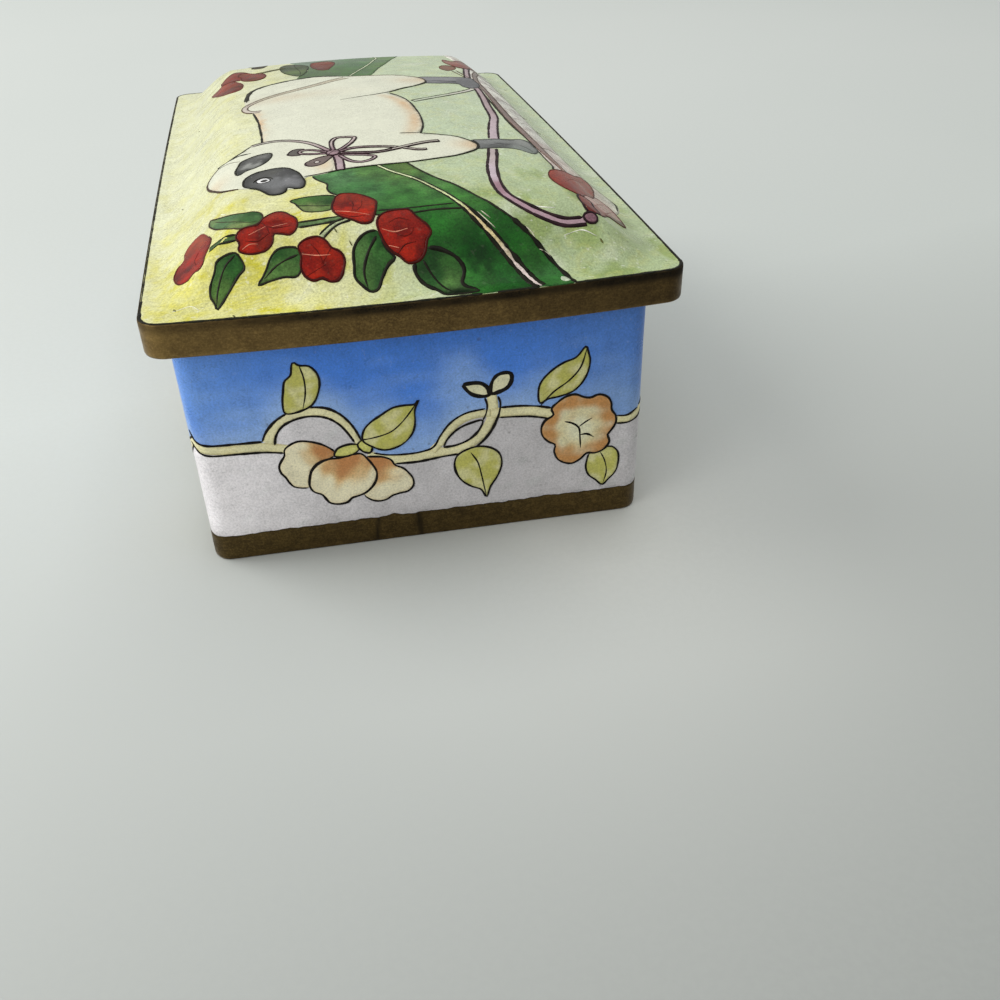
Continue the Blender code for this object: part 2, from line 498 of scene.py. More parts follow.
def enamel_material(name, grain=0.5, mottle=0.06, pit=0.5, rough=(0.16, 0.3), pale=(0.8, 0.8, 0.78), pale_amount=0.2, gloss=0.16, hue=None, hue_amount=0.0):
    """Fired enamel: tint from the mesh, cloudy mottling, fine crystal grain and pinholes."""
    m, t, bsdf = nodes_of(name)
    pos = position(t)
    tint = tint_node(t).outputs["Color"]
    cloud = noise_tex(t, pos, 260, 4, 0.6, 0.4)
    fine = noise_tex(t, pos, 3000, 3, 0.72)
    broad = noise_tex(t, pos, 70, 3, 0.5, 0.8)
    # cloudy lightness
    c1 = remap(t, cloud, 0.3, 0.7, 1 - mottle, 1 + mottle)
    c2 = remap(t, fine, 0.38, 0.62, 1 - 0.28 * grain, 1 + 0.28 * grain)
    c3 = remap(t, broad, 0.3, 0.7, 1 - 0.5 * mottle, 1 + 0.5 * mottle)
    k = math_node(t, "MULTIPLY", math_node(t, "MULTIPLY", c1, c2), c3)
    scaled = node(t, "ShaderNodeVectorMath", operation="SCALE")
    t.links.new(tint, scaled.inputs[0])
    t.links.new(k, scaled.inputs["Scale"])
    col = scaled.outputs[0]
    if hue is not None:
        drift = noise_tex(t, pos, 330, 5, 0.66, 0.9)
        col = mix_colour(t, math_node(t, "MULTIPLY", remap(t, drift, 0.48, 0.66, 0.0, 1.0), hue_amount), col, hue)
    # pale crystal specks
    specks = noise_tex(t, pos, 1250, 2, 0.5)
    col = mix_colour(t, remap(t, specks, 0.64, 0.72, 0.0, pale_amount), col, pale)
    # small dark crystals
    dusk = noise_tex(t, pos, 1900, 2, 0.6)
    darker = node(t, "ShaderNodeVectorMath", operation="SCALE")
    t.links.new(col, darker.inputs[0])
    darker.inputs["Scale"].default_value = 0.62
    col = mix_colour(t, remap(t, dusk, 0.60, 0.70, 0.0, 0.9 * grain), col, darker.outputs[0])
    # pinholes with a dark bottom, in two sizes
    spots = []
    for scale, share, reach in ((300, 0.962, 0.13), (760, 0.955, 0.22)):
        vor = node(t, "ShaderNodeTexVoronoi")
        vor.inputs["Scale"].default_value = scale
        t.links.new(pos, vor.inputs["Vector"])
        rnd = node(t, "ShaderNodeSeparateColor")
        t.links.new(vor.outputs["Color"], rnd.inputs[0])
        chosen = remap(t, rnd.outputs[0], share, share + 0.005, 0.0, 1.0)
        spots.append(math_node(t, "MULTIPLY", remap(t, vor.outputs["Distance"], reach * 0.35, reach, 1.0, 0.0), chosen))
    spot = math_node(t, "MAXIMUM", spots[0], spots[1])
    col = mix_colour(t, math_node(t, "MULTIPLY", spot, 0.6 * pit), col, (0.07, 0.06, 0.045))
    t.links.new(col, bsdf.inputs["Base Color"])
    r = math_node(t, "ADD", remap(t, cloud, 0.35, 0.65, rough[0], rough[1]), remap(t, fine, 0.5, 0.75, 0.0, 0.10))
    t.links.new(r, bsdf.inputs["Roughness"])
    ripple = noise_tex(t, pos, 260, 2, 0.5)
    n1 = bump(t, ripple, 0.00030, 0.14)
    n2 = bump(t, fine, 0.00004, 0.3 * grain, n1)
    n3 = bump(t, math_node(t, "MULTIPLY", spot, -1.0), 0.00012, 0.5 * pit, n2)
    t.links.new(n3, bsdf.inputs["Normal"])
    bsdf.inputs["IOR"].default_value = 1.45
    bsdf.inputs["Specular IOR Level"].default_value = gloss
    return m


def line_material(name):
    """Dark drawn line, worn through to bright metal in short stretches."""
    m, t, bsdf = nodes_of(name)
    pos = position(t)
    tint = tint_node(t).outputs["Color"]
    wear = noise_tex(t, pos, 210, 4, 0.65, 0.6)
    fine = noise_tex(t, pos, 1200, 2, 0.6)
    col = mix_colour(t, remap(t, fine, 0.5, 0.75, 0.0, 0.35), tint, (0.026, 0.021, 0.013))
    col = mix_colour(t, math_node(t, "MULTIPLY", remap(t, wear, 0.70, 0.76, 0.0, 1.0), remap(t, fine, 0.5, 0.6, 0.0, 0.8)), col, (0.5, 0.47, 0.38))
    t.links.new(col, bsdf.inputs["Base Color"])
    t.links.new(remap(t, fine, 0.35, 0.65, 0.30, 0.5), bsdf.inputs["Roughness"])
    t.links.new(bump(t, fine, 0.00004, 0.3), bsdf.inputs["Normal"])
    bsdf.inputs["Specular IOR Level"].default_value = 0.06
    return m


def brass_material(name, base, dark, bright, brush_axis, lean=0.0, rough=(0.34, 0.55), patina=0.6, brush=1.0):
    """Aged brass: brushed along its length, browned in patches, bright where rubbed.

    The mesh's tint holds wear, with painted glints and painted light on the lid rim (red), dirt, with a painted shadow
    band on the lid rim (green), and patina, with painted shade towards the lid rim's right end (blue).
    """
    m, t, bsdf = nodes_of(name)
    pos = position(t)
    sep = node(t, "ShaderNodeSeparateColor")
    t.links.new(tint_node(t).outputs["Color"], sep.inputs[0])
    wear_and_glint_mask, grime_and_shade, deep = sep.outputs[0], sep.outputs[1], sep.outputs[2]
    mp = node(t, "ShaderNodeMapping")
    mp.inputs["Rotation"].default_value = (0, lean, 0)
    mp.inputs["Scale"].default_value = brush_axis
    t.links.new(pos, mp.inputs["Vector"])
    streak = noise_tex(t, mp.outputs[0], 1.0, 4, 0.65)
    streak2 = noise_tex(t, mp.outputs[0], 2.7, 3, 0.6)
    blot = noise_tex(t, pos, 320, 6, 0.72, 0.3)
    broad = noise_tex(t, pos, 60, 4, 0.6, 0.6)
    fine = noise_tex(t, pos, 3300, 3, 0.7)
    col = mix_colour(t, math_node(t, "MULTIPLY", remap(t, blot, 0.38, 0.64, 0.0, 1.0), patina), base, dark)
    col = mix_colour(t, math_node(t, "MULTIPLY", remap(t, broad, 0.35, 0.65, 0.0, 0.6), patina), col, dark)
    col = mix_colour(t, math_node(t, "MULTIPLY", remap(t, streak, 0.5, 0.70, 0.0, 0.6), brush), col, bright)
    col = mix_colour(t, math_node(t, "MULTIPLY", remap(t, streak2, 0.5, 0.68, 0.0, 0.55), brush), col, dark)
    col = mix_colour(t, remap(t, fine, 0.52, 0.70, 0.0, 0.40), col, bright)
    col = mix_colour(t, remap(t, fine, 0.50, 0.32, 0.0, 0.45), col, tuple(0.5 * q for q in dark))
    # blue darkens the brass: patina, and on the lid rim painted shade towards its right end
    col = mix_colour(t, math_node(t, "MULTIPLY", deep, remap(t, blot, 0.3, 0.6, 0.6, 1.0)), col, tuple(0.45 * q for q in dark))
    # red brightens it: rubbed wear, and on the lid rim a painted glint at the near left corner and painted light over
    # its left half
    wear = math_node(t, "MULTIPLY", wear_and_glint_mask, remap(t, blot, 0.3, 0.6, 1.0, 0.35))
    col = mix_colour(t, wear, col, bright)
    # green darkens it: dirt, and on the lid rim a painted shadow band under the enamel's edge
    col = mix_colour(t, math_node(t, "MULTIPLY", grime_and_shade, remap(t, fine, 0.35, 0.6, 0.7, 1.0)), col, (0.012, 0.009, 0.005))
    t.links.new(col, bsdf.inputs["Base Color"])
    r = math_node(t, "ADD", remap(t, blot, 0.35, 0.65, rough[0], rough[1]), math_node(t, "MULTIPLY", grime_and_shade, 0.25))
    r = math_node(t, "SUBTRACT", r, math_node(t, "MULTIPLY", wear, 0.12))
    t.links.new(r, bsdf.inputs["Roughness"])
    bsdf.inputs["Metallic"].default_value = 0.85
    n1 = bump(t, streak, 0.00003, 0.4 * brush)
    n2 = bump(t, fine, 0.00002, 0.35, n1)
    n3 = bump(t, blot, 0.00008, 0.25, n2)
    t.links.new(n3, bsdf.inputs["Normal"])
    return m


ground_mat = enamel_material("lid_ground_enamel", grain=0.62, mottle=0.05, pit=0.6, rough=(0.22, 0.36), pale=(0.86, 0.87, 0.80), pale_amount=0.34, gloss=0.16, hue=(0.62, 0.60, 0.17), hue_amount=0.22)
paint_mat = enamel_material("painted_enamel", grain=0.8, mottle=0.24, pit=0.3, rough=(0.22, 0.36), pale=(0.40, 0.42, 0.30), pale_amount=0.05, gloss=0.09)
cream_mat = enamel_material("cream_enamel", grain=0.32, mottle=0.025, pit=0.3, rough=(0.22, 0.34), pale_amount=0.1, gloss=0.12)
wall_mat = enamel_material("wall_enamel", grain=0.46, mottle=0.07, pit=0.7, rough=(0.26, 0.40), pale=(0.66, 0.72, 0.80), pale_amount=0.10, gloss=0.40)
wall_paint = enamel_material("wall_painted_enamel", grain=0.42, mottle=0.06, pit=0.3, rough=(0.26, 0.38), pale_amount=0.08, gloss=0.3)
line_mat = line_material("drawn_line")
rim_brass = brass_material("lid_rim_brass", (0.170, 0.106, 0.036), (0.082, 0.050, 0.017), (0.40, 0.26, 0.085), (900, 900, 2600), lean=0.7, patina=0.5, brush=0.6)
foot_brass = brass_material("foot_strip_brass", (0.108, 0.069, 0.020), (0.046, 0.029, 0.009), (0.25, 0.165, 0.055), (500, 500, 1900), patina=0.6, brush=0.55)

BLACK = np.array([0.012, 0.010, 0.009])
BROWN_LINE = np.array([0.05, 0.028, 0.018])

# ------------------------------------------------------------------ lid ground
def rounded_rectangle(hx, hy, r, n_arc, n_x, n_y):
    points = []
    corners = ((1, 1, 0.0), (-1, 1, pi / 2), (-1, -1, pi), (1, -1, 1.5 * pi))
    for k, (sx, sy, start) in enumerate(corners):
        cx, cy = sx * (hx - r), sy * (hy - r)
        for i in range(n_arc + 1):
            a = start + pi / 2 * i / n_arc
            points.append((cx + r * cos(a), cy + r * sin(a)))
        nx, ny, nstart = corners[(k + 1) % 4]
        ex, ey = nx * (hx - r) + r * cos(nstart), ny * (hy - r) + r * sin(nstart)
        x0, y0 = points[-1]
        n = n_x if k % 2 == 0 else n_y
        for i in range(1, n):
            f = i / n
            points.append((x0 + (ex - x0) * f, y0 + (ey - y0) * f))
    return np.array(points)


def ground_colour(X, Y):
    """Pale yellow on the left, passing to pale green on the right and at the far end."""
    yellow = lin(201, 195, 80)
    pale = lin(217, 219, 184)
    green = lin(142, 160, 100)
    grey_green = lin(191, 204, 175)
    u = X + 40.0
    side = smoothstep(20, 50, u + 4 * wave(X, Y, 3, 38))
    warm = smoothstep(-10, -52, Y + 9 * wave(X, Y, 4, 30)) * (1 - smoothstep(22, 44, u))
    near = smoothstep(-20, -64, Y + 6 * wave(X, Y, 5, 26))
    blots = smoothstep(-0.2, 1.2, wave(X, Y, 7, 7.5) + 0.6 * wave(X, Y, 17, 3.0))
    corner = np.exp(-((np.hypot((X + 30) * 0.7, Y + 61) / 9.0) ** 2))
    fleck = smoothstep(-0.5, 0.9, wave(X, Y, 21, 2.3) + 0.5 * wave(X, Y, 22, 4.6))
    k = np.clip(0.12 + 0.34 * warm + 0.50 * blots * (0.5 + 0.5 * warm) + 0.58 * corner, 0, 1) * (0.68 + 0.46 * fleck)
    left = pale[None, :] + (yellow - pale)[None, :] * k[:, None]
    g = np.clip(0.15 + 0.85 * near * (0.55 + 0.7 * blots), 0, 1)
    right = grey_green[None, :] + (green - grey_green)[None, :] * g[:, None]
    c = left + (right - left) * side[:, None]
    patchy = wave(X, Y, 6, 9) * 0.035 + wave(X, Y, 8, 4) * 0.02
    white = smoothstep(0.35, 1.3, wave(X, Y, 9, 8) + 0.4 * wave(X, Y, 19, 3))[:, None] * 0.30
    c = c * (1 + patchy)[:, None]
    # painted light: paler along the left edge, where the light falls
    left_edge_light = 0.34 * np.exp(-np.clip(u, 0, None) / 5.0)[:, None]
    return c + (lin(222, 225, 206)[None, :] - c) * np.maximum(white, left_edge_light)


def lid_ground():
    n_arc, n_x, n_y = 14, 96, 160
    edge = 0.24
    steps = [0.7, 1.3, 2.0]
    d = 2.0
    while d < 16.0:
        d += 0.55
        steps.append(d)
    while d < 39.5:
        d += 1.2
        steps.append(min(d, 39.8))
    rows, tints = [], []

    def ring(inset, z=None, drop=0.0):
        hx, hy = LID_W / 2 - inset, LID_D / 2 - inset
        if inset <= MARGIN:
            r = max(LID_CORNER - inset, 1.2)
        else:
            g = 1.2 + (SHOULDER_R - 1.2) * float(np.clip((inset - MARGIN) / 6.0, 0, 1))
            r = min(g, 0.7 * hx)
        p = rounded_rectangle(hx, hy, r, n_arc, n_x, n_y)
        rise = dome(p[:, 0], p[:, 1])
        zz = RIM_TOP + 0.98 * rise - 0.04 if z is None else np.full(len(p), z)
        X, Y = bowed(p[:, 0], p[:, 1])
        tints.append(ground_colour(X, Y))
        X, Y = turned(X, Y)
        rows.append(np.stack([X, Y, zz - drop], 1))

    ring(edge, RIM_TOP - 0.6)
    ring(edge, RIM_TOP - 0.16)
    ring(edge + 0.1, RIM_TOP - 0.06)
    for s in steps:
        ring(s)
    n = len(rows[0])
    v = np.concatenate(rows)
    c = np.concatenate(tints)
    faces = []
    for k in range(len(rows) - 1):
        for i in range(n):
            j = (i + 1) % n
            faces.append((k * n + i, k * n + j, (k + 1) * n + j, (k + 1) * n + i))
    # the last ring is a thin slot along the ridge: it closes across
    top = len(rows) - 1
    faces.append(tuple(top * n + i for i in range(n)))
    faces.append(tuple(reversed(range(n))))
    obj = to_object("lid_enamel_ground", v, faces, c, ground_mat, True)
    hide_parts("lid_enamel")
    return obj


lid_ground()


# -------------------------------------------------------------- lid brass tray
def stack(rows):
    n = len(rows[0])
    faces = []
    for k in range(len(rows) - 1):
        for i in range(n):
            j = (i + 1) % n
            faces.append((k * n + i, k * n + j, (k + 1) * n + j, (k + 1) * n + i))
    return faces


def lid_brass():
    n_arc, n_x, n_y = 8, 120, 190
    rows, tints = [], []

    def ring(inset, z=None, wear=0.0, grime_and_shade=0.0, uneven=0.0, under=0.0, side=0.0):
        hx, hy = LID_W / 2 - inset, LID_D / 2 - inset
        if inset <= MARGIN:
            r = max(LID_CORNER - inset, 1.0)
        else:
            g = 1.0 + (SHOULDER_R - 1.0) * float(np.clip((inset - MARGIN) / 6.0, 0, 1))
            r = min(g, 0.7 * hx)
        p = rounded_rectangle(hx, hy, r, n_arc, n_x, n_y)
        a = np.arange(len(p)) / len(p) * 2 * pi
        X, Y = bowed(p[:, 0], p[:, 1])
        if z is None:
            zz = RIM_TOP + dome(p[:, 0], p[:, 1]) - under
        else:
            zz = np.full(len(p), float(z))
            zz = zz + uneven * (0.5 * np.sin(5 * a) + 0.6 * np.sin(13 * a + 1) + 0.4 * np.sin(29 * a))
        t = np.zeros((len(p), 3))
        t[:, 0] = wear * (0.7 + 0.45 * wave(X, Y, 41, 11))
        t[:, 1] = grime_and_shade
        if side:
            # rubbed gold with a painted glint at the near left corner, painted light over the left half, and patina
            # with painted shade towards the near right
            t[:, 0] += side * (0.42 * np.exp(-(((X + 41) / 5.0) ** 2) - ((Y + 68) / 9.0) ** 2) + 0.20 * smoothstep(0, -30, X))
            # the dark band under the enamel's edge, dirt with a painted shadow, varies in depth, and thins out to the
            # near left
            ragged = 0.86 + 0.16 * wave(X, Y, 46, 8.0)
            front = smoothstep(-56, -64, Y)
            t[:, 1] = grime_and_shade * ragged * (0.75 + front * (0.30 - 0.60 * smoothstep(-12, -36, X)))
            # patina, deepened towards the right end as painted shade
            t[:, 2] = side * (0.03 + 0.70 * smoothstep(0, 38, X) + 0.12 * wave(X, Y, 43, 9))
        tints.append(np.clip(t, 0, 1))
        X, Y = turned(X, Y)
        rows.append(np.stack([X, Y, zz], 1))

    top = RIM_TOP
    lower = BODY_SEEN
    dome_steps = (39.8, 30.0, 22.0, 16.0, 13.5, 11.0, 9.0, 7.0, 5.2, 3.6, 2.4)
    for d in dome_steps:
        ring(d, under=1.3)
    ring(0.8, top - 1.2, 0, 0.9)
    ring(0.30, top - 0.55, 0, 1.0)
    ring(0.22, top - 0.10, 0.0, 0.9)
    ring(0.15, top - 0.05, 0.0, 0.8)
    # the top of the rim's face is dark under the enamel's edge: dirt and a painted shadow band
    ring(0.09, top - 0.12, 0.10, 0.85, side=1)
    ring(0.06, top - 0.30, 0.0, 1.0, side=1)
    for f, dark in ((0.06, 1.0), (0.12, 0.92), (0.18, 0.60), (0.27, 0.16), (0.40, 0), (0.54, 0), (0.68, 0), (0.80, 0), (0.9, 0)):
        ring(0.05, top - 0.35 - (RIM_H - 0.7) * f, 0.03, dark, side=1)
    ring(0.06, lower + 0.28, 0.15, 0.0, side=1)
    ring(0.14, lower + 0.07, 0.35, 0.1, 0.02)
    ring(0.24, lower + 0.01, 0.15, 0.3)
    ring(RIM_T - 0.1, lower + 0.02, 0.0, 0.5)
    ring(RIM_T, lower + 0.2, 0.0, 0.5)
    ring(RIM_T, top - 2.1, 0.0, 0.5)
    for d in reversed(dome_steps):
        ring(d, under=2.0, grime_and_shade=0.15)
    v = np.concatenate(rows)
    c = np.concatenate(tints)
    n = len(rows[0])
    faces = stack(rows)
    last = (len(rows) - 1) * n
    faces.append(tuple(reversed(range(n))))
    faces.append(tuple(last + i for i in range(n)))
    faces = [f[::-1] for f in faces]
    obj = to_object("lid_brass_tray", v, faces, c, rim_brass, True)
    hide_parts("lid_shell")


lid_brass()


# ------------------------------------------------------------- drawn pictures
class Drawing:
    """Coloured fields and drawn outlines on one surface.

    A later field lies over an earlier one, and hides the lines drawn before it.
    """

    def __init__(self, surface, unit, line_height=0.13):
        self.surface, self.unit, self.h = surface, unit, line_height
        self.fields, self.lines, self.order = [], [], 0

    def mm(self, x):
        return x * self.unit

    def field(self, outline, colour, group, closed_curve=True, line=0.36, tint=BLACK, level=None, grid=0.8, gaps=()):
        """A filled shape; line is its outline's width in mm, or 0 for none."""
        poly = spline(outline, True, 0.45 * self.unit) if closed_curve else np.asarray(outline, float)
        self.order += 1
        self.fields.append((poly, self.order, colour, group, level, grid))
        if line:
            self.line(poly, line, tint, closed=True, is_path=True, gaps=gaps)
        return poly

    def line(self, points, width=0.34, tint=BLACK, closed=False, is_path=False, taper=(0.5, 0.5), gaps=(), wobble=0.14):
        path = np.asarray(points, float) if is_path else spline(points, closed, 0.4 * self.unit)
        self.lines.append((path, width, tint, closed, taper, self.order, gaps, wobble))

    def hide(self, poly):
        """Marks an area that hides earlier lines without a colour of its own."""
        self.order += 1
        self.fields.append((np.asarray(poly, float), self.order, None, None, None, None))

    def build(self, prefix, materials, slot):
        gathers = {}
        # a field lies one thin coat above the highest field that it overlaps
        depth = []
        for i, (poly, order, colour, group, level, grid) in enumerate(self.fields):
            lo, hi = poly.min(0), poly.max(0)
            under = 0
            for j in range(i):
                other = self.fields[j][0]
                if self.fields[j][2] is None or depth[j] <= under:
                    continue
                if (other.max(0) < lo).any() or (other.min(0) > hi).any():
                    continue
                if inside(poly, other).any() or inside(other, poly).any():
                    under = depth[j]
            depth.append(under + 1)
        for (poly, order, colour, group, level, grid), deep in zip(self.fields, depth):
            if colour is None:
                continue
            lift = level if level is not None else 0.012 + 0.020 * deep
            g = gathers.setdefault(group, Gather())
            patch(g, self.surface, poly, self.unit, colour, lift=lift, grid=grid)

        def ride_height(path, order):
            deep = 0
            for (poly, o, colour, *_), dp in zip(self.fields, depth):
                if o > order or dp <= deep or colour is None:
                    continue
                if (poly.max(0) < path.min(0) - 1).any() or (poly.min(0) > path.max(0) + 1).any():
                    continue
                if inside(path, poly).any() or edge_distance(path[::3], poly).min() < 0.3 * self.unit:
                    deep = dp
            return 0.012 + 0.020 * deep + self.h

        for group, g in gathers.items():
            g.object(f"{prefix}_{group}", materials[group], slot)
        g = Gather()
        for i, (path, width, tint, closed, taper, order, gaps, wobble) in enumerate(self.lines):
            seen = np.ones(len(path), bool)
            for poly, o, *_ in self.fields:
                if o > order:
                    lo, hi = poly.min(0), poly.max(0)
                    near = (path >= lo).all(1) & (path <= hi).all(1)
                    if near.any():
                        idx = np.flatnonzero(near)
                        seen[idx[inside(path[idx], poly)]] = False
            for a, b in gaps:
                n = len(path)
                seen[int(a * n) : int(b * n)] = False
            if seen.all():
                ribbon(g, self.surface, path, self.unit, width, tint, ride_height(path, order), seed=i, closed=closed, taper=taper, wobble=wobble)
                continue
            runs, run = [], []
            idx = list(range(len(path)))
            if closed and (~seen).any():
                first = int(np.flatnonzero(~seen)[0])
                idx = idx[first:] + idx[:first]
            for q in idx:
                if seen[q]:
                    run.append(q)
                elif run:
                    runs.append(run)
                    run = []
            if run:
                runs.append(run)
            for run in runs:
                if len(run) >= 3:
                    ribbon(g, self.surface, path[run], self.unit, width, tint, ride_height(path[run], order), seed=i, closed=False, taper=(0.15, 0.15), wobble=wobble)
        g.object(f"{prefix}_outlines", line_mat, slot)


def shade(base, rim=None, rim_width=1.2, rim_strength=0.8, seed=1, scale=6.0, spread=0.12, light=None, light_at=0.5, streak=None):
    """A colour rule for a field: clouded base, tinted towards its outline."""
    base = np.asarray(base)

    def rule(p, d):
        n = wave(p[:, 0], p[:, 1], seed, scale)
        n2 = wave(p[:, 0], p[:, 1], seed + 100, scale * 0.35)
        c = base[None, :] * (1 + spread * n + 0.5 * spread * n2)[:, None]
        if light is not None:
            k = smoothstep(light_at - 0.5, light_at + 0.9, n + 0.5 * n2)
            c = c + (np.asarray(light)[None, :] - c) * k[:, None]
        if streak is not None:
            colour, angle, pitch, amount = streak
            a = p[:, 0] * cos(angle) + p[:, 1] * sin(angle)
            b = -p[:, 0] * sin(angle) + p[:, 1] * cos(angle)
            s = np.sin(2 * pi * a / pitch + 1.3 * np.sin(b / 3.0 + seed)) * 0.6 + 0.4 * np.sin(2 * pi * a / pitch * 2.3 + seed)
            k = smoothstep(0.1, 0.95, s) * amount
            c = c + (np.asarray(colour)[None, :] - c) * k[:, None]
        if rim is not None:
            w = rim_width * (1 + 0.5 * wave(p[:, 0], p[:, 1], seed + 7, 5.0))
            k = rim_strength * np.exp(-((d / np.maximum(w, 0.2)) ** 2)) * (0.75 + 0.35 * n)
            c = c + (np.asarray(rim)[None, :] - c) * np.clip(k, 0, 1)[:, None]
        return c

    return rule


# ------------------------------------------------------------- picture on the lid
GREEN = lin(50, 96, 40)
GREEN_DARK = lin(16, 48, 18)
RED = lin(168, 42, 22)
RED_DARK = lin(104, 18, 10)
CREAM = lin(232, 228, 206)
PEACH = lin(214, 178, 138)
GREY = lin(110, 111, 108)
GREY_DARK = lin(62, 62, 60)
MAUVE = lin(150, 112, 118)
OLIVE_INK = np.array([0.016, 0.015, 0.009])
BROWN_INK = np.array([0.062, 0.036, 0.022])
RED_INK = lin(62, 14, 10)
MAUVE_INK = lin(48, 29, 34)

lid = Drawing(on_lid, 7.0, 0.030)


def blend(spots, seed=1, spread=0.10, rim=None, rim_width=0.6, rim_strength=0.6, drift=0.8, unit=7.0, fleck=None):
    """A colour rule that runs softly between a few tones set at places in a field."""
    at = np.array([q[0] for q in spots], float) / unit
    tones = np.array([q[1] for q in spots])

    def rule(p, d):
        n = wave(p[:, 0], p[:, 1], seed, 4.5)
        m = wave(p[:, 0], p[:, 1], seed + 9, 1.6)
        q = p + np.stack([n, m], 1) * drift
        r2 = ((q[:, None, :] - at[None]) ** 2).sum(-1)
        w = 1 / (r2 + 0.4) ** 1.7
        c = (w[:, :, None] * tones[None]).sum(1) / w.sum(1)[:, None]
        c = c * np.clip(1 + spread * n + 0.6 * spread * m, 0.3, 1.8)[:, None]
        if fleck is not None:
            k = smoothstep(0.75, 1.3, wave(p[:, 0], p[:, 1], seed + 21, 1.3) + 0.3 * n)[:, None]
            c = c + (np.asarray(fleck)[None, :] - c) * k
        if rim is not None:
            w2 = rim_width * np.clip(1 + 0.5 * n, 0.3, 2)
            k = rim_strength * np.exp(-((d / w2) ** 2))
            c = c + (np.asarray(rim)[None, :] - c) * np.clip(k, 0, 1)[:, None]
        return c

    return rule


def strip(path, width):
    """Outline and two edges of a band of this width along a path."""
    path = np.asarray(path, float)
    t = np.gradient(path, axis=0)
    t /= np.maximum(np.linalg.norm(t, axis=1, keepdims=True), 1e-9)
    side = np.stack([-t[:, 1], t[:, 0]], 1)
    w = np.broadcast_to(np.asarray(width, float), (len(path),))[:, None] / 2
    left, right = path + side * w, path - side * w
    return np.concatenate([left, right[::-1]]), left, right


def widths(path, *stops):
    """Widths along a path from (share of its length, width) pairs."""
    path = np.asarray(path, float)
    seg = np.concatenate([[0], np.cumsum(np.linalg.norm(np.diff(path, axis=0), axis=1))])
    return np.interp(seg / seg[-1], [q[0] for q in stops], [q[1] for q in stops])


def deepened(rule, factor):
    """The same tones, laid on more heavily."""
    return lambda p, d: rule(p, d) * np.array(factor)


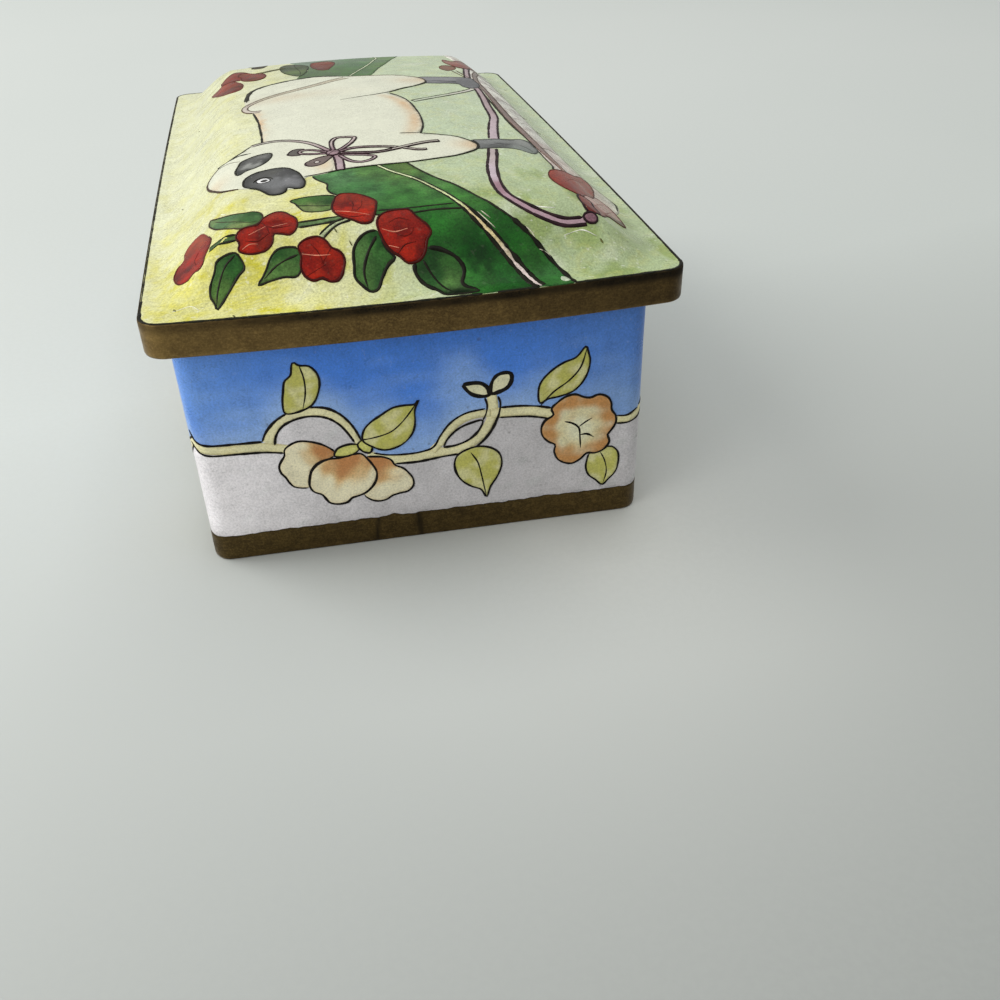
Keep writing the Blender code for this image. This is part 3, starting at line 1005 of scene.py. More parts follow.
def big_leaf():
    """A broad dark leaf that passes behind the animal and runs down to the front."""
    near = [
        (190, 741), (192, 750), (197, 760), (204, 771), (203, 785), (206, 797), (214, 806), (226, 830), (238, 850),
        (252, 866), (278, 892), (296, 914), (316, 934), (326, 957.4), (380, 957.8), (434, 957), (432, 941), (424, 928),
        (413, 910), (402, 894), (388, 878), (372, 862), (361, 846), (352, 828), (340, 805), (324, 783), (311, 760),
        (301, 736), (297, 724), (262, 728), (228, 731),
    ]
    tones = blend(
        [
            ((215, 760), lin(78, 116, 82)), ((240, 800), lin(62, 106, 66)), ((285, 830), lin(56, 104, 52)),
            ((262, 745), lin(74, 106, 62)), ((292, 742), lin(88, 108, 62)), ((322, 790), lin(78, 118, 68)),
            ((345, 835), lin(56, 104, 48)), ((300, 880), lin(34, 92, 34)), ((345, 905), lin(12, 58, 16)),
            ((330, 935), lin(44, 100, 42)), ((372, 940), lin(24, 74, 28)), ((385, 895), lin(26, 82, 26)),
            ((415, 935), lin(48, 98, 50)), ((402, 915), lin(34, 84, 30)),
        ],
        21, 0.24, GREEN_DARK, 0.5, 0.5, 0.9,
    )
    lid.field(near, deepened(tones, (0.88, 1.0, 0.72)), "leaf", grid=0.5, line=0)
    far = [
        (203, 249), (214, 224), (219, 197), (214, 160), (204, 130), (196, 98), (280, 86), (371, 90), (364, 118), (356, 138),
        (342, 183), (325, 231), (311, 280), (306, 292), (262, 296), (200, 292),
    ]
    # the far end of the leaf, palest near its top edge: its own green with painted sheen
    far_tones_with_sheen = blend(
        [
            ((240, 110), lin(122, 140, 122)), ((300, 130), lin(98, 122, 92)), ((300, 190), lin(80, 112, 74)),
            ((240, 220), lin(84, 110, 70)), ((220, 270), lin(78, 104, 62)), ((350, 110), lin(104, 130, 84)),
            ((330, 200), lin(92, 122, 68)), ((300, 270), lin(78, 112, 62)),
        ],
        22, 0.08,
    )
    lid.field(far, far_tones_with_sheen, "leaf", grid=0.7, line=0)
    # pale midrib with a dark line on each side, wider towards the front
    ribs = (
        ([(263, 728), (270, 741), (279, 755), (299, 779), (315, 807), (327, 831), (336, 853), (347, 871), (361, 890), (372, 906), (384, 926), (393, 944), (398, 957)],
         ((0, 4.2), (0.5, 5.0), (0.75, 7.5), (1, 9.0)), ((0, 0.22), (0.45, 0.32), (0.7, 0.60), (1, 0.78))),
        ([(332, 96), (334, 114), (327, 141), (311, 197), (290, 252), (276, 288)], ((0, 3.6), (1, 3.6)), ((0, 0.14), (1, 0.16))),
    )
    for k, (rib, wide, ink) in enumerate(ribs):
        path = spline(rib, False, 2.6)
        poly, left, right = strip(path, widths(path, *wide))
        rib_tone = blend([((270, 741), lin(214, 224, 176)), ((330, 840), lin(206, 214, 160)), ((352, 876), lin(196, 180, 134)), ((392, 945), lin(214, 198, 192))], 24, 0.06) if k == 0 else shade(lin(204, 212, 180), seed=24)
        lid.field(poly, rib_tone, "leaf", closed_curve=False, line=0, grid=0.7)
        w = widths(left, *ink)
        if k == 0:
            part = len(left) / 9
            for a, b in [(int(part * q), min(len(left), int(part * (q + 1)) + 2)) for q in range(9)]:
                lid.line(left[a:b], float(w[a:b].mean()), OLIVE_INK * 0.7, is_path=True, taper=(0, 0), wobble=0.22)
                lid.line(right[a:b], float(w[a:b].mean()) * 0.95, OLIVE_INK * 0.7, is_path=True, taper=(0, 0), wobble=0.22)
        else:
            lid.line(left, 0.14, lin(56, 78, 44), is_path=True)
            lid.line(right, 0.14, lin(56, 78, 44), is_path=True)
    # outline: fine at the top, thick and worn near the front
    lid.line([(190, 741), (192, 750), (197, 760), (204, 771), (203, 785), (206, 797), (213, 806), (220, 816)], 0.36, OLIVE_INK)
    lid.line([(299, 733), (311, 760), (324, 783), (340, 805), (352, 828), (361, 846), (372, 862), (388, 878)], 0.40, OLIVE_INK, taper=(0, 0))
    lid.line([(386, 876), (402, 894), (413, 910), (424, 928), (431, 942), (435, 957)], 0.72, OLIVE_INK * 0.6, taper=(0.3, 0), wobble=0.26)
    lid.line([(371, 92), (364, 118), (356, 138), (342, 183), (325, 231), (311, 280)], 0.16, lin(52, 74, 40))
    # one cross vein, a double line
    lid.line([(246, 854), (276, 855), (306, 854), (330, 853)], 0.34, OLIVE_INK, taper=(0, 1.0))
    lid.line([(246, 861), (280, 863), (310, 861), (338, 862)], 0.34, OLIVE_INK, taper=(0, 0.4))
    # chips of bare metal at the worn edge
    lid.field([(424, 941), (429, 943), (431, 951), (425, 952), (422, 947)], shade(lin(168, 178, 156), seed=25), "leaf", line=0, grid=0.4)
    for pts in ([(399, 886), (404, 891), (407, 897)], [(409, 908), (416, 912), (419, 916)], [(352, 868), (360, 878), (367, 886)], [(356, 867), (364, 876)]):
        lid.line(pts, 0.16, lin(210, 204, 180), taper=(0.2, 0.2))


def leaf(outline, rib, tones, line=0.40, rib_width=0.26, ink=OLIVE_INK, seed=1, double=False, spread=0.14):
    """A small leaf with its rib; tones run from its stalk side to its tip."""
    q = np.array(outline, float)
    lo, hi = q.min(0), q.max(0)
    mid = q.mean(0)
    spots = [(lo + (hi - lo) * np.array(f), c) for f, c in tones]
    lid.field(outline, deepened(blend([((a[0], a[1]), c) for a, c in spots], seed, spread, GREEN_DARK, 0.35, 0.45, 0.5), (0.62, 0.64, 0.47)), "leaf", line=0.80 * line, tint=ink, grid=0.42)
    if rib:
        lid.line(rib, 0.85 * rib_width, ink, taper=(0.2, 0.8))
        if double:
            r = np.array(rib, float)
            r = r + (r - mid) * 0.10 + np.array([3.2, -1.0])
            lid.line(r[:-1], rib_width * 0.9, ink, taper=(0.4, 1.2))


def blossom(outline, tones, line=0.36, gaps=(), strokes=(), streaks_and_glints=(), seed=1, ink=RED_INK):
    """A red flower drawn by its own outline, with folds, and fine marks across it painted pale as glints of light."""
    lid.field(outline, deepened(blend(tones, seed, 0.22, RED_DARK, 0.45, 0.6, 0.6, fleck=lin(176, 54, 34)), (0.64, 0.42, 0.24)), "blossoms", line=0.85 * line, tint=ink, grid=0.38, gaps=gaps)
    for pts, w in strokes:
        lid.line(pts, w * 1.1, lin(84, 14, 8), taper=(0.9, 1.4), wobble=0.3)
    # painted glints: fine pale marks across the petals where light catches them
    for pts in streaks_and_glints:
        lid.line(pts, 0.13, lin(226, 148, 120), taper=(0.6, 0.9), wobble=0.4)


def stem(points, wide=((0, 5.0), (1, 5.0)), line=0.34, tone=None):
    path = spline(points, False, 2.6)
    poly, left, right = strip(path, widths(path, *wide))
    lid.field(poly, shade(lin(96, 122, 78) if tone is None else tone, seed=31), "leaf", closed_curve=False, line=0, grid=0.6)
    lid.line(left, line, OLIVE_INK, is_path=True, taper=(0, 0))
    lid.line(right, line, OLIVE_INK, is_path=True, taper=(0, 0))


def sprays():
    """Red blossoms and green leaves on thin stems."""
    pale_leaf, teal, deep = lin(132, 160, 112), lin(98, 138, 104), lin(38, 86, 40)
    mid, bright = lin(62, 112, 56), lin(92, 136, 74)
    stem([(75, 866), (84, 866.5), (94, 866.5), (106, 866)], ((0, 9), (0.5, 7.5), (1, 6.5)), 0.34, lin(72, 98, 52))
    stem([(164, 862), (184, 861.5), (206, 860), (222, 859)], ((0, 7), (0.6, 6.5), (1, 5)), 0.34)
    stem([(220, 862), (205, 866), (193, 874), (184, 882)], ((0, 4), (1, 5.5)), 0.32, lin(170, 180, 140))
    leaf([(76, 788), (81, 796), (92, 809), (104, 817), (113, 819.5), (122, 819), (129, 824), (132, 833), (131, 842), (126, 851), (117, 854), (108, 856), (101, 853), (92, 842), (83, 828), (77, 812), (74, 798)],
         [(82, 806), (92, 824), (104, 838), (116, 846), (126, 846)], (((0.1, 0.1), pale_leaf), ((0.35, 0.5), teal), ((0.75, 0.75), lin(66, 108, 66)), ((0.9, 0.5), lin(52, 92, 52)), ((0.55, 0.95), lin(150, 170, 120))), 0.30, 0.16, BROWN_INK * 0.8, 41)
    leaf([(162, 805), (172, 801), (186, 800), (201, 802), (211, 808), (208, 820), (205, 833), (201, 841), (188, 842), (176, 838), (170, 826), (167, 815)],
         [(167, 820), (180, 824), (192, 828), (205, 830)], (((0.15, 0.15), bright), ((0.6, 0.2), lin(70, 112, 58)), ((0.85, 0.5), lin(44, 86, 42)), ((0.35, 0.75), lin(140, 156, 110)), ((0.75, 0.9), lin(112, 138, 88))), 0.34, 0.26, OLIVE_INK, 42)
    leaf([(101, 882), (90, 883), (81, 888), (78.5, 896), (73, 908), (72, 919), (75, 926), (77.5, 935), (81, 930), (90, 917), (101, 903), (108, 897), (105, 887)],
         [(100, 884), (90, 892), (84, 902), (79, 916), (77, 930)], (((0.2, 0.2), lin(74, 118, 66)), ((0.7, 0.15), lin(40, 90, 42)), ((0.7, 0.45), lin(52, 104, 50)), ((0.3, 0.6), lin(96, 136, 72)), ((0.25, 0.9), lin(104, 120, 66))), 0.42, 0.32, OLIVE_INK, 43)
    leaf([(163, 887), (154, 884), (142, 885), (134, 892), (129, 901), (124, 908), (119, 914), (131, 912), (145, 910), (158, 911), (164, 903)],
         [(162, 892), (150, 895), (138, 900), (126, 909)], (((0.9, 0.2), lin(66, 110, 60)), ((0.5, 0.2), lin(44, 92, 44)), ((0.6, 0.75), lin(98, 138, 80)), ((0.2, 0.8), lin(112, 142, 86))), 0.40, 0.34, OLIVE_INK, 44)
    leaf([(247, 880), (236, 879), (226, 884), (218, 894), (216, 908), (215, 919), (219.5, 926), (229, 936), (235.5, 934), (242, 922), (251, 910), (258, 905.5), (251, 896), (248, 887)],
         [(243, 884), (232, 898), (225, 914), (226, 932)], (((0.7, 0.1), lin(34, 82, 36)), ((0.25, 0.35), lin(92, 134, 80)), ((0.6, 0.45), lin(62, 112, 58)), ((0.25, 0.85), lin(84, 126, 70)), ((0.6, 0.8), lin(50, 100, 50))), 0.62, 0.50, OLIVE_INK * 0.7, 45)
    leaf([(284, 901), (299, 900), (313, 905), (322, 912), (326, 921), (324, 929), (321, 936), (324, 942), (332, 947), (335, 953), (324, 955), (311, 955), (302, 954), (295, 944), (284, 935), (277, 924), (276, 916), (280, 908)],
         [(286, 910), (293, 926), (302, 941), (312, 951)], (((0.3, 0.15), lin(26, 72, 28)), ((0.7, 0.3), lin(58, 108, 52)), ((0.3, 0.5), lin(40, 92, 42)), ((0.6, 0.6), lin(86, 128, 72)), ((0.6, 0.95), lin(8, 26, 10))), 0.80, 0.42, OLIVE_INK * 0.6, 46)
    rose, bright_red, brick, deep_red = lin(176, 92, 82), lin(196, 50, 26), lin(160, 52, 38), lin(112, 18, 10)
    blossom([(51, 799), (58, 797), (65, 801), (69.5, 812), (74, 828), (77, 842), (75, 856), (70, 871), (68, 885), (64, 889.5), (58, 887), (51, 891), (43, 887), (37, 874), (34, 858), (35, 846), (38, 835), (44, 828), (44, 814), (47, 804)],
            [((57, 805), rose), ((62, 825), lin(184, 100, 88)), ((48, 835), lin(150, 50, 40)), ((60, 850), lin(158, 34, 22)), ((42, 862), deep_red), ((50, 880), bright_red), ((66, 865), lin(168, 52, 36))],
            0.24, ((0.0, 0.2), (0.86, 1.0)), ([[(62, 846), (58, 858), (60, 872)], 0.22],), seed=51, ink=lin(84, 28, 18))
    blossom([(146, 829), (154, 832), (159, 840), (165, 851), (166, 860), (163, 868), (157, 872), (149, 870), (141, 869), (139, 877), (133, 883), (122, 885.5), (110, 884), (104, 880), (106, 874), (103, 867), (106, 860), (113, 855.5), (126, 854), (129, 849), (133, 840), (139, 833)],
            [((147, 836), lin(176, 66, 48)), ((152, 850), lin(168, 48, 30)), ((140, 858), lin(146, 28, 16)), ((157, 865), bright_red), ((118, 862), lin(178, 44, 26)), ((128, 866), deep_red), ((112, 880), bright_red), ((130, 878), brick)],
            0.34, (), ([[(133, 858), (144, 862), (158, 862)], 0.26], [[(112, 872), (124, 874), (136, 868)], 0.26], [[(129, 850), (134, 858), (137, 868)], 0.24]),
            ([(116, 866), (128, 861), (134, 858)], [(140, 860), (156, 858)], [(108, 880), (116, 876), (124, 877)]), 52)
    blossom([(168, 880.5), (176, 878), (185, 878), (192, 883), (196, 889.5), (204, 894), (207.5, 901), (205, 910), (199, 919), (190, 920), (183, 915.7), (174, 917), (166, 912), (163, 903), (165, 894), (163, 885)],
            [((176, 886), lin(158, 38, 22)), ((190, 892), lin(180, 50, 28)), ((172, 900), lin(140, 24, 14)), ((186, 904), deep_red), ((178, 911), bright_red), ((200, 903), lin(168, 42, 24)), ((196, 913), lin(150, 30, 18))],
            0.40, (), ([[(176, 884), (182, 892), (186, 903)], 0.26], [[(196, 889), (190, 897), (184, 903)], 0.24], [[(168, 912), (178, 908), (188, 904)], 0.22]),
            ([(166, 892), (180, 895), (194, 896)],), 53)
    blossom([(215, 803), (222, 802.7), (231, 806.6), (242, 817), (250, 830.5), (249, 844), (244.5, 862), (240, 869), (231, 869.5), (220, 863), (210.5, 858), (205, 849), (203.6, 835), (207, 819), (210.5, 808)],
            [((219, 812), lin(160, 62, 48)), ((236, 822), lin(150, 54, 42)), ((222, 834), deep_red), ((240, 840), lin(168, 60, 44)), ((214, 848), lin(182, 46, 26)), ((232, 858), bright_red), ((240, 864), lin(170, 44, 26))],
            0.42, (), ([[(222, 818), (226, 832), (224, 846)], 0.22], [[(236, 826), (234, 840), (228, 850)], 0.20], [[(208, 852), (222, 860), (236, 860)], 0.22]),
            ([(206, 846), (222, 852), (240, 860)],), 54)
    blossom([(248, 865), (258, 858), (272, 856.5), (281, 857.5), (287.5, 868), (298, 880), (299.5, 885.5), (294, 892), (289.5, 903), (281.5, 910), (270, 911), (263, 904), (258, 901), (251.5, 894), (248, 885), (245.7, 874)],
            [((258, 864), lin(170, 48, 32)), ((276, 864), lin(178, 42, 22)), ((288, 884), lin(152, 30, 16)), ((270, 884), lin(128, 22, 12)), ((256, 890), lin(170, 40, 24)), ((276, 900), bright_red), ((284, 904), deep_red)],
            0.44, (), ([[(262, 876), (264, 884), (272, 887), (280, 884), (282, 880)], 0.28], [[(258, 872), (268, 868), (280, 872)], 0.24], [[(262, 902), (270, 895), (282, 893)], 0.22]),
            ([(250, 878), (262, 882), (276, 880)], [(254, 894), (264, 897)]), 55)
    # at the far end; the paler rose tones here are the flowers' own red with painted sheen
    rose_with_sheen = lin(136, 84, 76)
    leaf([(178, 142), (187, 124), (197, 126), (214, 142), (221, 162), (218, 197), (214, 224), (204, 249), (193, 235), (183, 211), (178, 183)],
         [(200, 130), (202, 170), (206, 206), (205, 240)], (((0.5, 0.1), lin(92, 96, 82)), ((0.4, 0.35), lin(76, 88, 66)), ((0.4, 0.65), lin(112, 130, 92)), ((0.6, 0.9), lin(98, 122, 78))), 0.20, 0.16, OLIVE_INK * 1.6, 47, spread=0.08)
    leaf([(128, 98), (142, 96), (158, 99), (155, 112), (150, 124), (140, 127), (132, 118), (136, 106)], None, (((0.5, 0.5), lin(74, 62, 46)),), 0.2, seed=48)
    stem([(140, 178), (152, 172), (166, 164), (184, 156)], ((0, 8), (1, 6)), 0.14, lin(128, 126, 84))
    blossom([(69, 197), (74.5, 228), (83, 259), (93, 283), (105.5, 296), (114, 290), (119, 266), (117.6, 245), (107, 218), (97, 193), (90, 173), (84, 168), (86, 190), (78, 200)],
            [((76, 215), lin(168, 96, 90)), ((90, 200), lin(164, 96, 88)), ((92, 240), lin(150, 78, 70)), ((100, 270), lin(136, 62, 48)), ((112, 262), lin(128, 74, 40)), ((108, 285), lin(120, 46, 30))],
            0.16, (), (), (), 56, ink=lin(104, 48, 36))
    blossom([(84, 180), (92, 152), (104, 138), (118, 144), (128, 162), (134, 190), (126, 208), (112, 216), (98, 206), (89, 196)],
            [((92, 160), lin(150, 92, 84)), ((110, 150), lin(140, 74, 64)), ((112, 186), lin(126, 54, 42))],
            0.18, (), (), (), 59, ink=lin(88, 42, 28))
    blossom([(114, 163), (121, 159), (135, 173), (149, 183), (154, 204), (149, 228), (138, 237), (124.5, 231), (117.6, 221), (116, 197), (112, 183)],
            [((118, 172), lin(150, 100, 92)), ((134, 188), lin(150, 82, 72)), ((144, 205), lin(144, 70, 56)), ((124, 205), lin(130, 56, 42)), ((136, 228), lin(128, 72, 38))],
            0.18, (), (), (), 57, ink=lin(88, 42, 28))
    blossom([(228, 128), (245, 118), (259, 124.5), (264, 145), (261, 169), (254, 197), (247, 216), (237, 214), (228, 190), (224.5, 162), (226, 142)],
            [((245, 128), lin(150, 104, 98)), ((240, 150), lin(142, 84, 76)), ((250, 180), rose_with_sheen), ((242, 205), lin(124, 72, 58))],
            0.18, (), (), (), 58, ink=lin(92, 50, 40))


def animal():
    """A pale short-haired animal lying side-on, with grey mask, ear and paws."""
    pale = lin(216, 217, 197)
    warm = lin(206, 176, 138)

    def coat_rule(p, d):
        u, v = p[:, 0] * 7, p[:, 1] * 7
        n = wave(p[:, 0], p[:, 1], 51, 9.0)
        m = wave(p[:, 0], p[:, 1], 52, 3.0)
        c = pale[None, :] * (1 + 0.02 * n + 0.015 * m)[:, None]
        # peach where the form turns away
        k = 0.75 * np.exp(-(((u - (134 + 4 * m)) / 10.0) ** 2)) * smoothstep(440, 470, v) * (1 - smoothstep(596, 610, v))
        edge_u = np.interp(v, [430, 470, 520, 570, 632], [312, 334, 341, 341, 328])
        k = np.maximum(k, 0.85 * np.exp(-(((u - edge_u + 9) / 9.0) ** 2)) * smoothstep(428, 450, v) * (1 - smoothstep(622, 640, v)))
        k = np.maximum(k, 0.75 * np.exp(-((np.hypot((u - 392) * 0.8, v - 680) / 20.0) ** 2)))
        k = np.maximum(k, 0.6 * np.exp(-((np.hypot((u - 378) * 0.6, v - 345) / 22.0) ** 2)))
        k = np.maximum(k, 0.5 * np.exp(-((np.hypot((u - 206) * 0.9, (v - 712) * 0.5) / 12.0) ** 2)))
        k = np.maximum(k, 0.30 * np.exp(-((np.hypot((u - 170) * 0.3, (v - 395)) / 22.0) ** 2)))
        k = np.maximum(k, 0.40 * np.exp(-((np.hypot((u - 80) * 0.8, (v - 705) * 0.6) / 13.0) ** 2)))
        k = np.clip(k * (1 + 0.25 * n + 0.2 * m), 0, 1)
        return c + (warm[None, :] - c) * k[:, None]

    grey = blend([((415, 664), lin(128, 130, 128)), ((440, 700), lin(120, 126, 120)), ((420, 684), lin(74, 75, 74)), ((450, 670), lin(134, 136, 132)), ((410, 335), lin(130, 130, 132)), ((430, 352), lin(92, 92, 94))], 53, 0.06)
    # far hind paw and far fore paw lie behind
    lid.field([(372, 323), (404, 318), (438, 316), (454, 321), (455, 335), (457, 356), (455, 373), (449, 390), (438, 395), (428, 383), (426, 368), (414, 364), (393, 366), (372, 362)], grey, "animal", line=0.12, tint=lin(70, 70, 68))
    lid.field([(386, 663), (400, 660), (415, 658), (434, 659), (449, 658), (456, 664), (459, 678), (461, 694), (457.5, 706), (452, 714), (445, 708), (438, 699), (429, 694), (415, 692), (397, 694), (386, 694)], grey, "animal", line=0.14, tint=lin(70, 70, 68))
    body = [
        (139, 602), (139, 570), (138, 540), (137, 510), (135, 480), (131, 456), (121, 428), (121, 404), (120, 383), (124, 352),
        (131, 321), (145, 300), (169, 287), (197, 277), (224, 274), (252, 281), (268, 290), (293, 296), (318, 298), (338, 301),
        (356, 310), (369, 321), (378, 335), (380, 349), (378, 360), (369, 373), (356, 387), (338, 401), (321, 418), (316, 428),
        (326, 446), (334, 466), (338, 490), (340, 520), (341, 550), (340, 574), (338, 596), (334, 614), (329, 629), (350, 638),
        (368, 646), (381, 660), (389, 674), (390.5, 683), (386, 696), (372, 708), (356, 717), (336, 722.5), (316, 727), (299, 729),
        (262, 730), (228, 732), (190, 741), (170, 735), (150, 690), (142, 640),
    ]
    lid.field(body, coat_rule, "animal", line=0, grid=0.8)
    head = [
        (139, 600), (131, 603), (122, 611), (114, 624), (106, 633), (101, 638.5), (88, 640), (82, 645), (74, 653), (71, 667),
        (72, 680), (76, 696), (81, 710), (88, 728), (99, 742), (113, 750), (126, 755.5), (150, 770), (176, 770), (182, 745),
        (212, 736), (218, 690), (214, 664), (206, 646), (194, 626), (180, 612), (162, 602),
    ]
    lid.field(head, coat_rule, "animal", line=0, grid=0.7)
    # outlines of body and head
    ink, soft = OLIVE_INK, BROWN_INK
    lid.line([(139, 602), (139, 570), (138, 540), (137, 510), (134, 480), (131, 456)], 0.40, ink, taper=(0, 0.4))
    lid.line([(123, 384), (124.5, 352), (131, 321), (145, 301), (169, 287), (197, 277), (224, 273.5), (249, 281), (270, 292)], 0.95, OLIVE_INK * 1.7, taper=(0.8, 1.5), wobble=0.2)
    lid.line([(270, 293), (293, 297), (318, 299), (338, 302), (356, 311), (369, 321), (378, 335), (380, 349)], 0.34, BROWN_INK * 1.5, taper=(1.0, 0))
    lid.line([(380, 348), (378, 360), (369, 373), (356, 387), (338, 401), (321, 418), (300, 431), (280, 438), (262, 444), (248, 448)], 0.46, OLIVE_INK * 1.4, taper=(0, 3.0))
    lid.line([(318, 428), (327, 446), (334, 466), (338, 490), (340, 520), (341, 550), (340, 574), (338, 596), (334, 614), (329, 632)], 0.34, ink)
    lid.line([(304, 626), (327, 629), (350, 638), (368, 646), (381, 660), (389, 674), (390.5, 683), (386, 696), (372, 708), (356, 717), (336, 722.5), (316, 727), (299, 730), (262, 731), (228, 733), (200, 739), (181, 741.5)], 0.40, ink, taper=(4, 0.3))
    lid.line([(140, 599), (131, 603), (122, 611), (114, 624), (106, 633), (101, 638)], 0.36, ink * 1.3)
    lid.line([(84, 637), (92, 640), (101, 638.5), (110, 635), (125, 632.5)], 0.55, ink * 1.5, taper=(0.8, 0.8), wobble=0.35)
    lid.line([(85, 641), (76, 649), (71, 661), (71, 676), (75, 694), (81, 711), (88, 728), (99, 742), (108, 748)], 0.30, soft, taper=(0.4, 0.6))
    lid.line([(86, 644), (98, 649), (107, 655), (114, 658)], 0.20, soft, taper=(0.4, 0.3))
    # tail curled over the haunch: a pale band between brown edges
    tail = spline([(141, 452), (128, 446), (121, 432), (121, 416), (130, 400), (146, 384), (168, 369), (196, 354), (222, 338), (244, 320), (268, 304)], False, 2.6)
    poly, left, right = strip(tail, widths(tail, (0, 8), (0.3, 8), (0.5, 10), (1, 13)))
    lid.field(poly, blend([((125, 425), lin(196, 186, 174)), ((165, 372), lin(200, 194, 174)), ((215, 342), lin(204, 198, 178)), ((255, 312), lin(196, 190, 168))], 57, 0.06), "animal", closed_curve=False, line=0, grid=0.55)
    lid.line(left, 0.24, BROWN_INK * 1.3, is_path=True, taper=(0, 3))
    lid.line(right, 0.24, BROWN_INK * 1.3, is_path=True, taper=(0, 3))
    lid.line(tail[18:-6], 0.15, lin(140, 124, 100), is_path=True, taper=(3, 3))
    # mask with the eye and muzzle
    mask = [(115, 746), (114, 733), (117, 719), (126, 708), (138, 703), (153, 702), (163, 705.5), (169.5, 714), (176, 728), (179, 742), (181, 758), (176.5, 773), (169.5, 772.5), (161.6, 768), (158, 778), (151, 783), (142, 780.5), (135.5, 769), (128.6, 758), (119.5, 751)]
    lid.field(mask, blend([((145, 708), lin(84, 84, 80)), ((165, 722), lin(72, 72, 72)), ((125, 728), lin(76, 76, 74)), ((150, 750), lin(112, 113, 114)), ((168, 752), lin(116, 116, 118)), ((148, 774), lin(98, 98, 98))], 54, 0.10, lin(40, 41, 40), 0.9, 0.75), "animal", line=0.32, tint=ink * 0.8, grid=0.42)
    ear = [(113, 659), (122, 651), (133, 645), (147, 645), (149, 651), (147, 664), (140, 678), (131, 687), (117, 696), (109, 705), (106, 696), (106, 687), (109, 674)]
    lid.field(ear, blend([((142, 652), lin(112, 112, 108)), ((140, 666), lin(66, 66, 64)), ((118, 668), lin(82, 82, 80)), ((124, 680), lin(146, 147, 142)), ((112, 694), lin(60, 60, 58))], 55, 0.10, lin(44, 45, 42), 0.7, 0.7), "animal", line=0.32, tint=ink * 1.2, grid=0.42)
    # eye: pale ring, dark pupil with a glint
    th = np.linspace(0, 2 * pi, 22, endpoint=False)
    lid.field(np.stack([136 + 9.6 * np.cos(th), 736.5 + 9.2 * np.sin(th)], 1), shade(lin(34, 34, 34), seed=60), "animal", line=0, grid=0.35)
    lid.field(np.stack([136 + 8.0 * np.cos(th), 736.5 + 7.4 * np.sin(th)], 1), shade(lin(224, 224, 222), seed=61), "animal", line=0, grid=0.35)
    lid.field(np.stack([137 + 5.0 * np.cos(th), 737.5 + 4.6 * np.sin(th)], 1), shade(lin(58, 56, 54), seed=65), "animal", line=0, grid=0.3)
    lid.field(np.stack([136.4 + 2.6 * np.cos(th), 737.5 + 2.4 * np.sin(th)], 1), shade(lin(18, 18, 20), seed=62), "animal", line=0, grid=0.3)
    lid.field(np.stack([134.8 + 1.3 * np.cos(th), 735.5 + 1.3 * np.sin(th)], 1), shade(lin(220, 224, 226), seed=63), "animal", line=0, grid=0.2)
    lid.line([(125, 738), (129, 730), (136, 726.5), (143.5, 729), (147, 736)], 0.24, ink, taper=(0.3, 0.3))
    # shadow between paw and chest, toes
    lid.line([(388, 664), (391, 676), (389, 694)], 0.50, ink * 0.8, taper=(0.4, 0.4))
    lid.line([(404, 682), (416, 676), (430, 679)], 0.5, lin(92, 92, 92), taper=(1, 1))
    lid.line([(442, 680), (448, 692), (452, 706)], 0.18, lin(84, 86, 84), taper=(0.8, 0.8))
    lid.line([(381, 352), (396, 350), (424, 352)], 0.5, lin(84, 84, 86), taper=(1, 1))


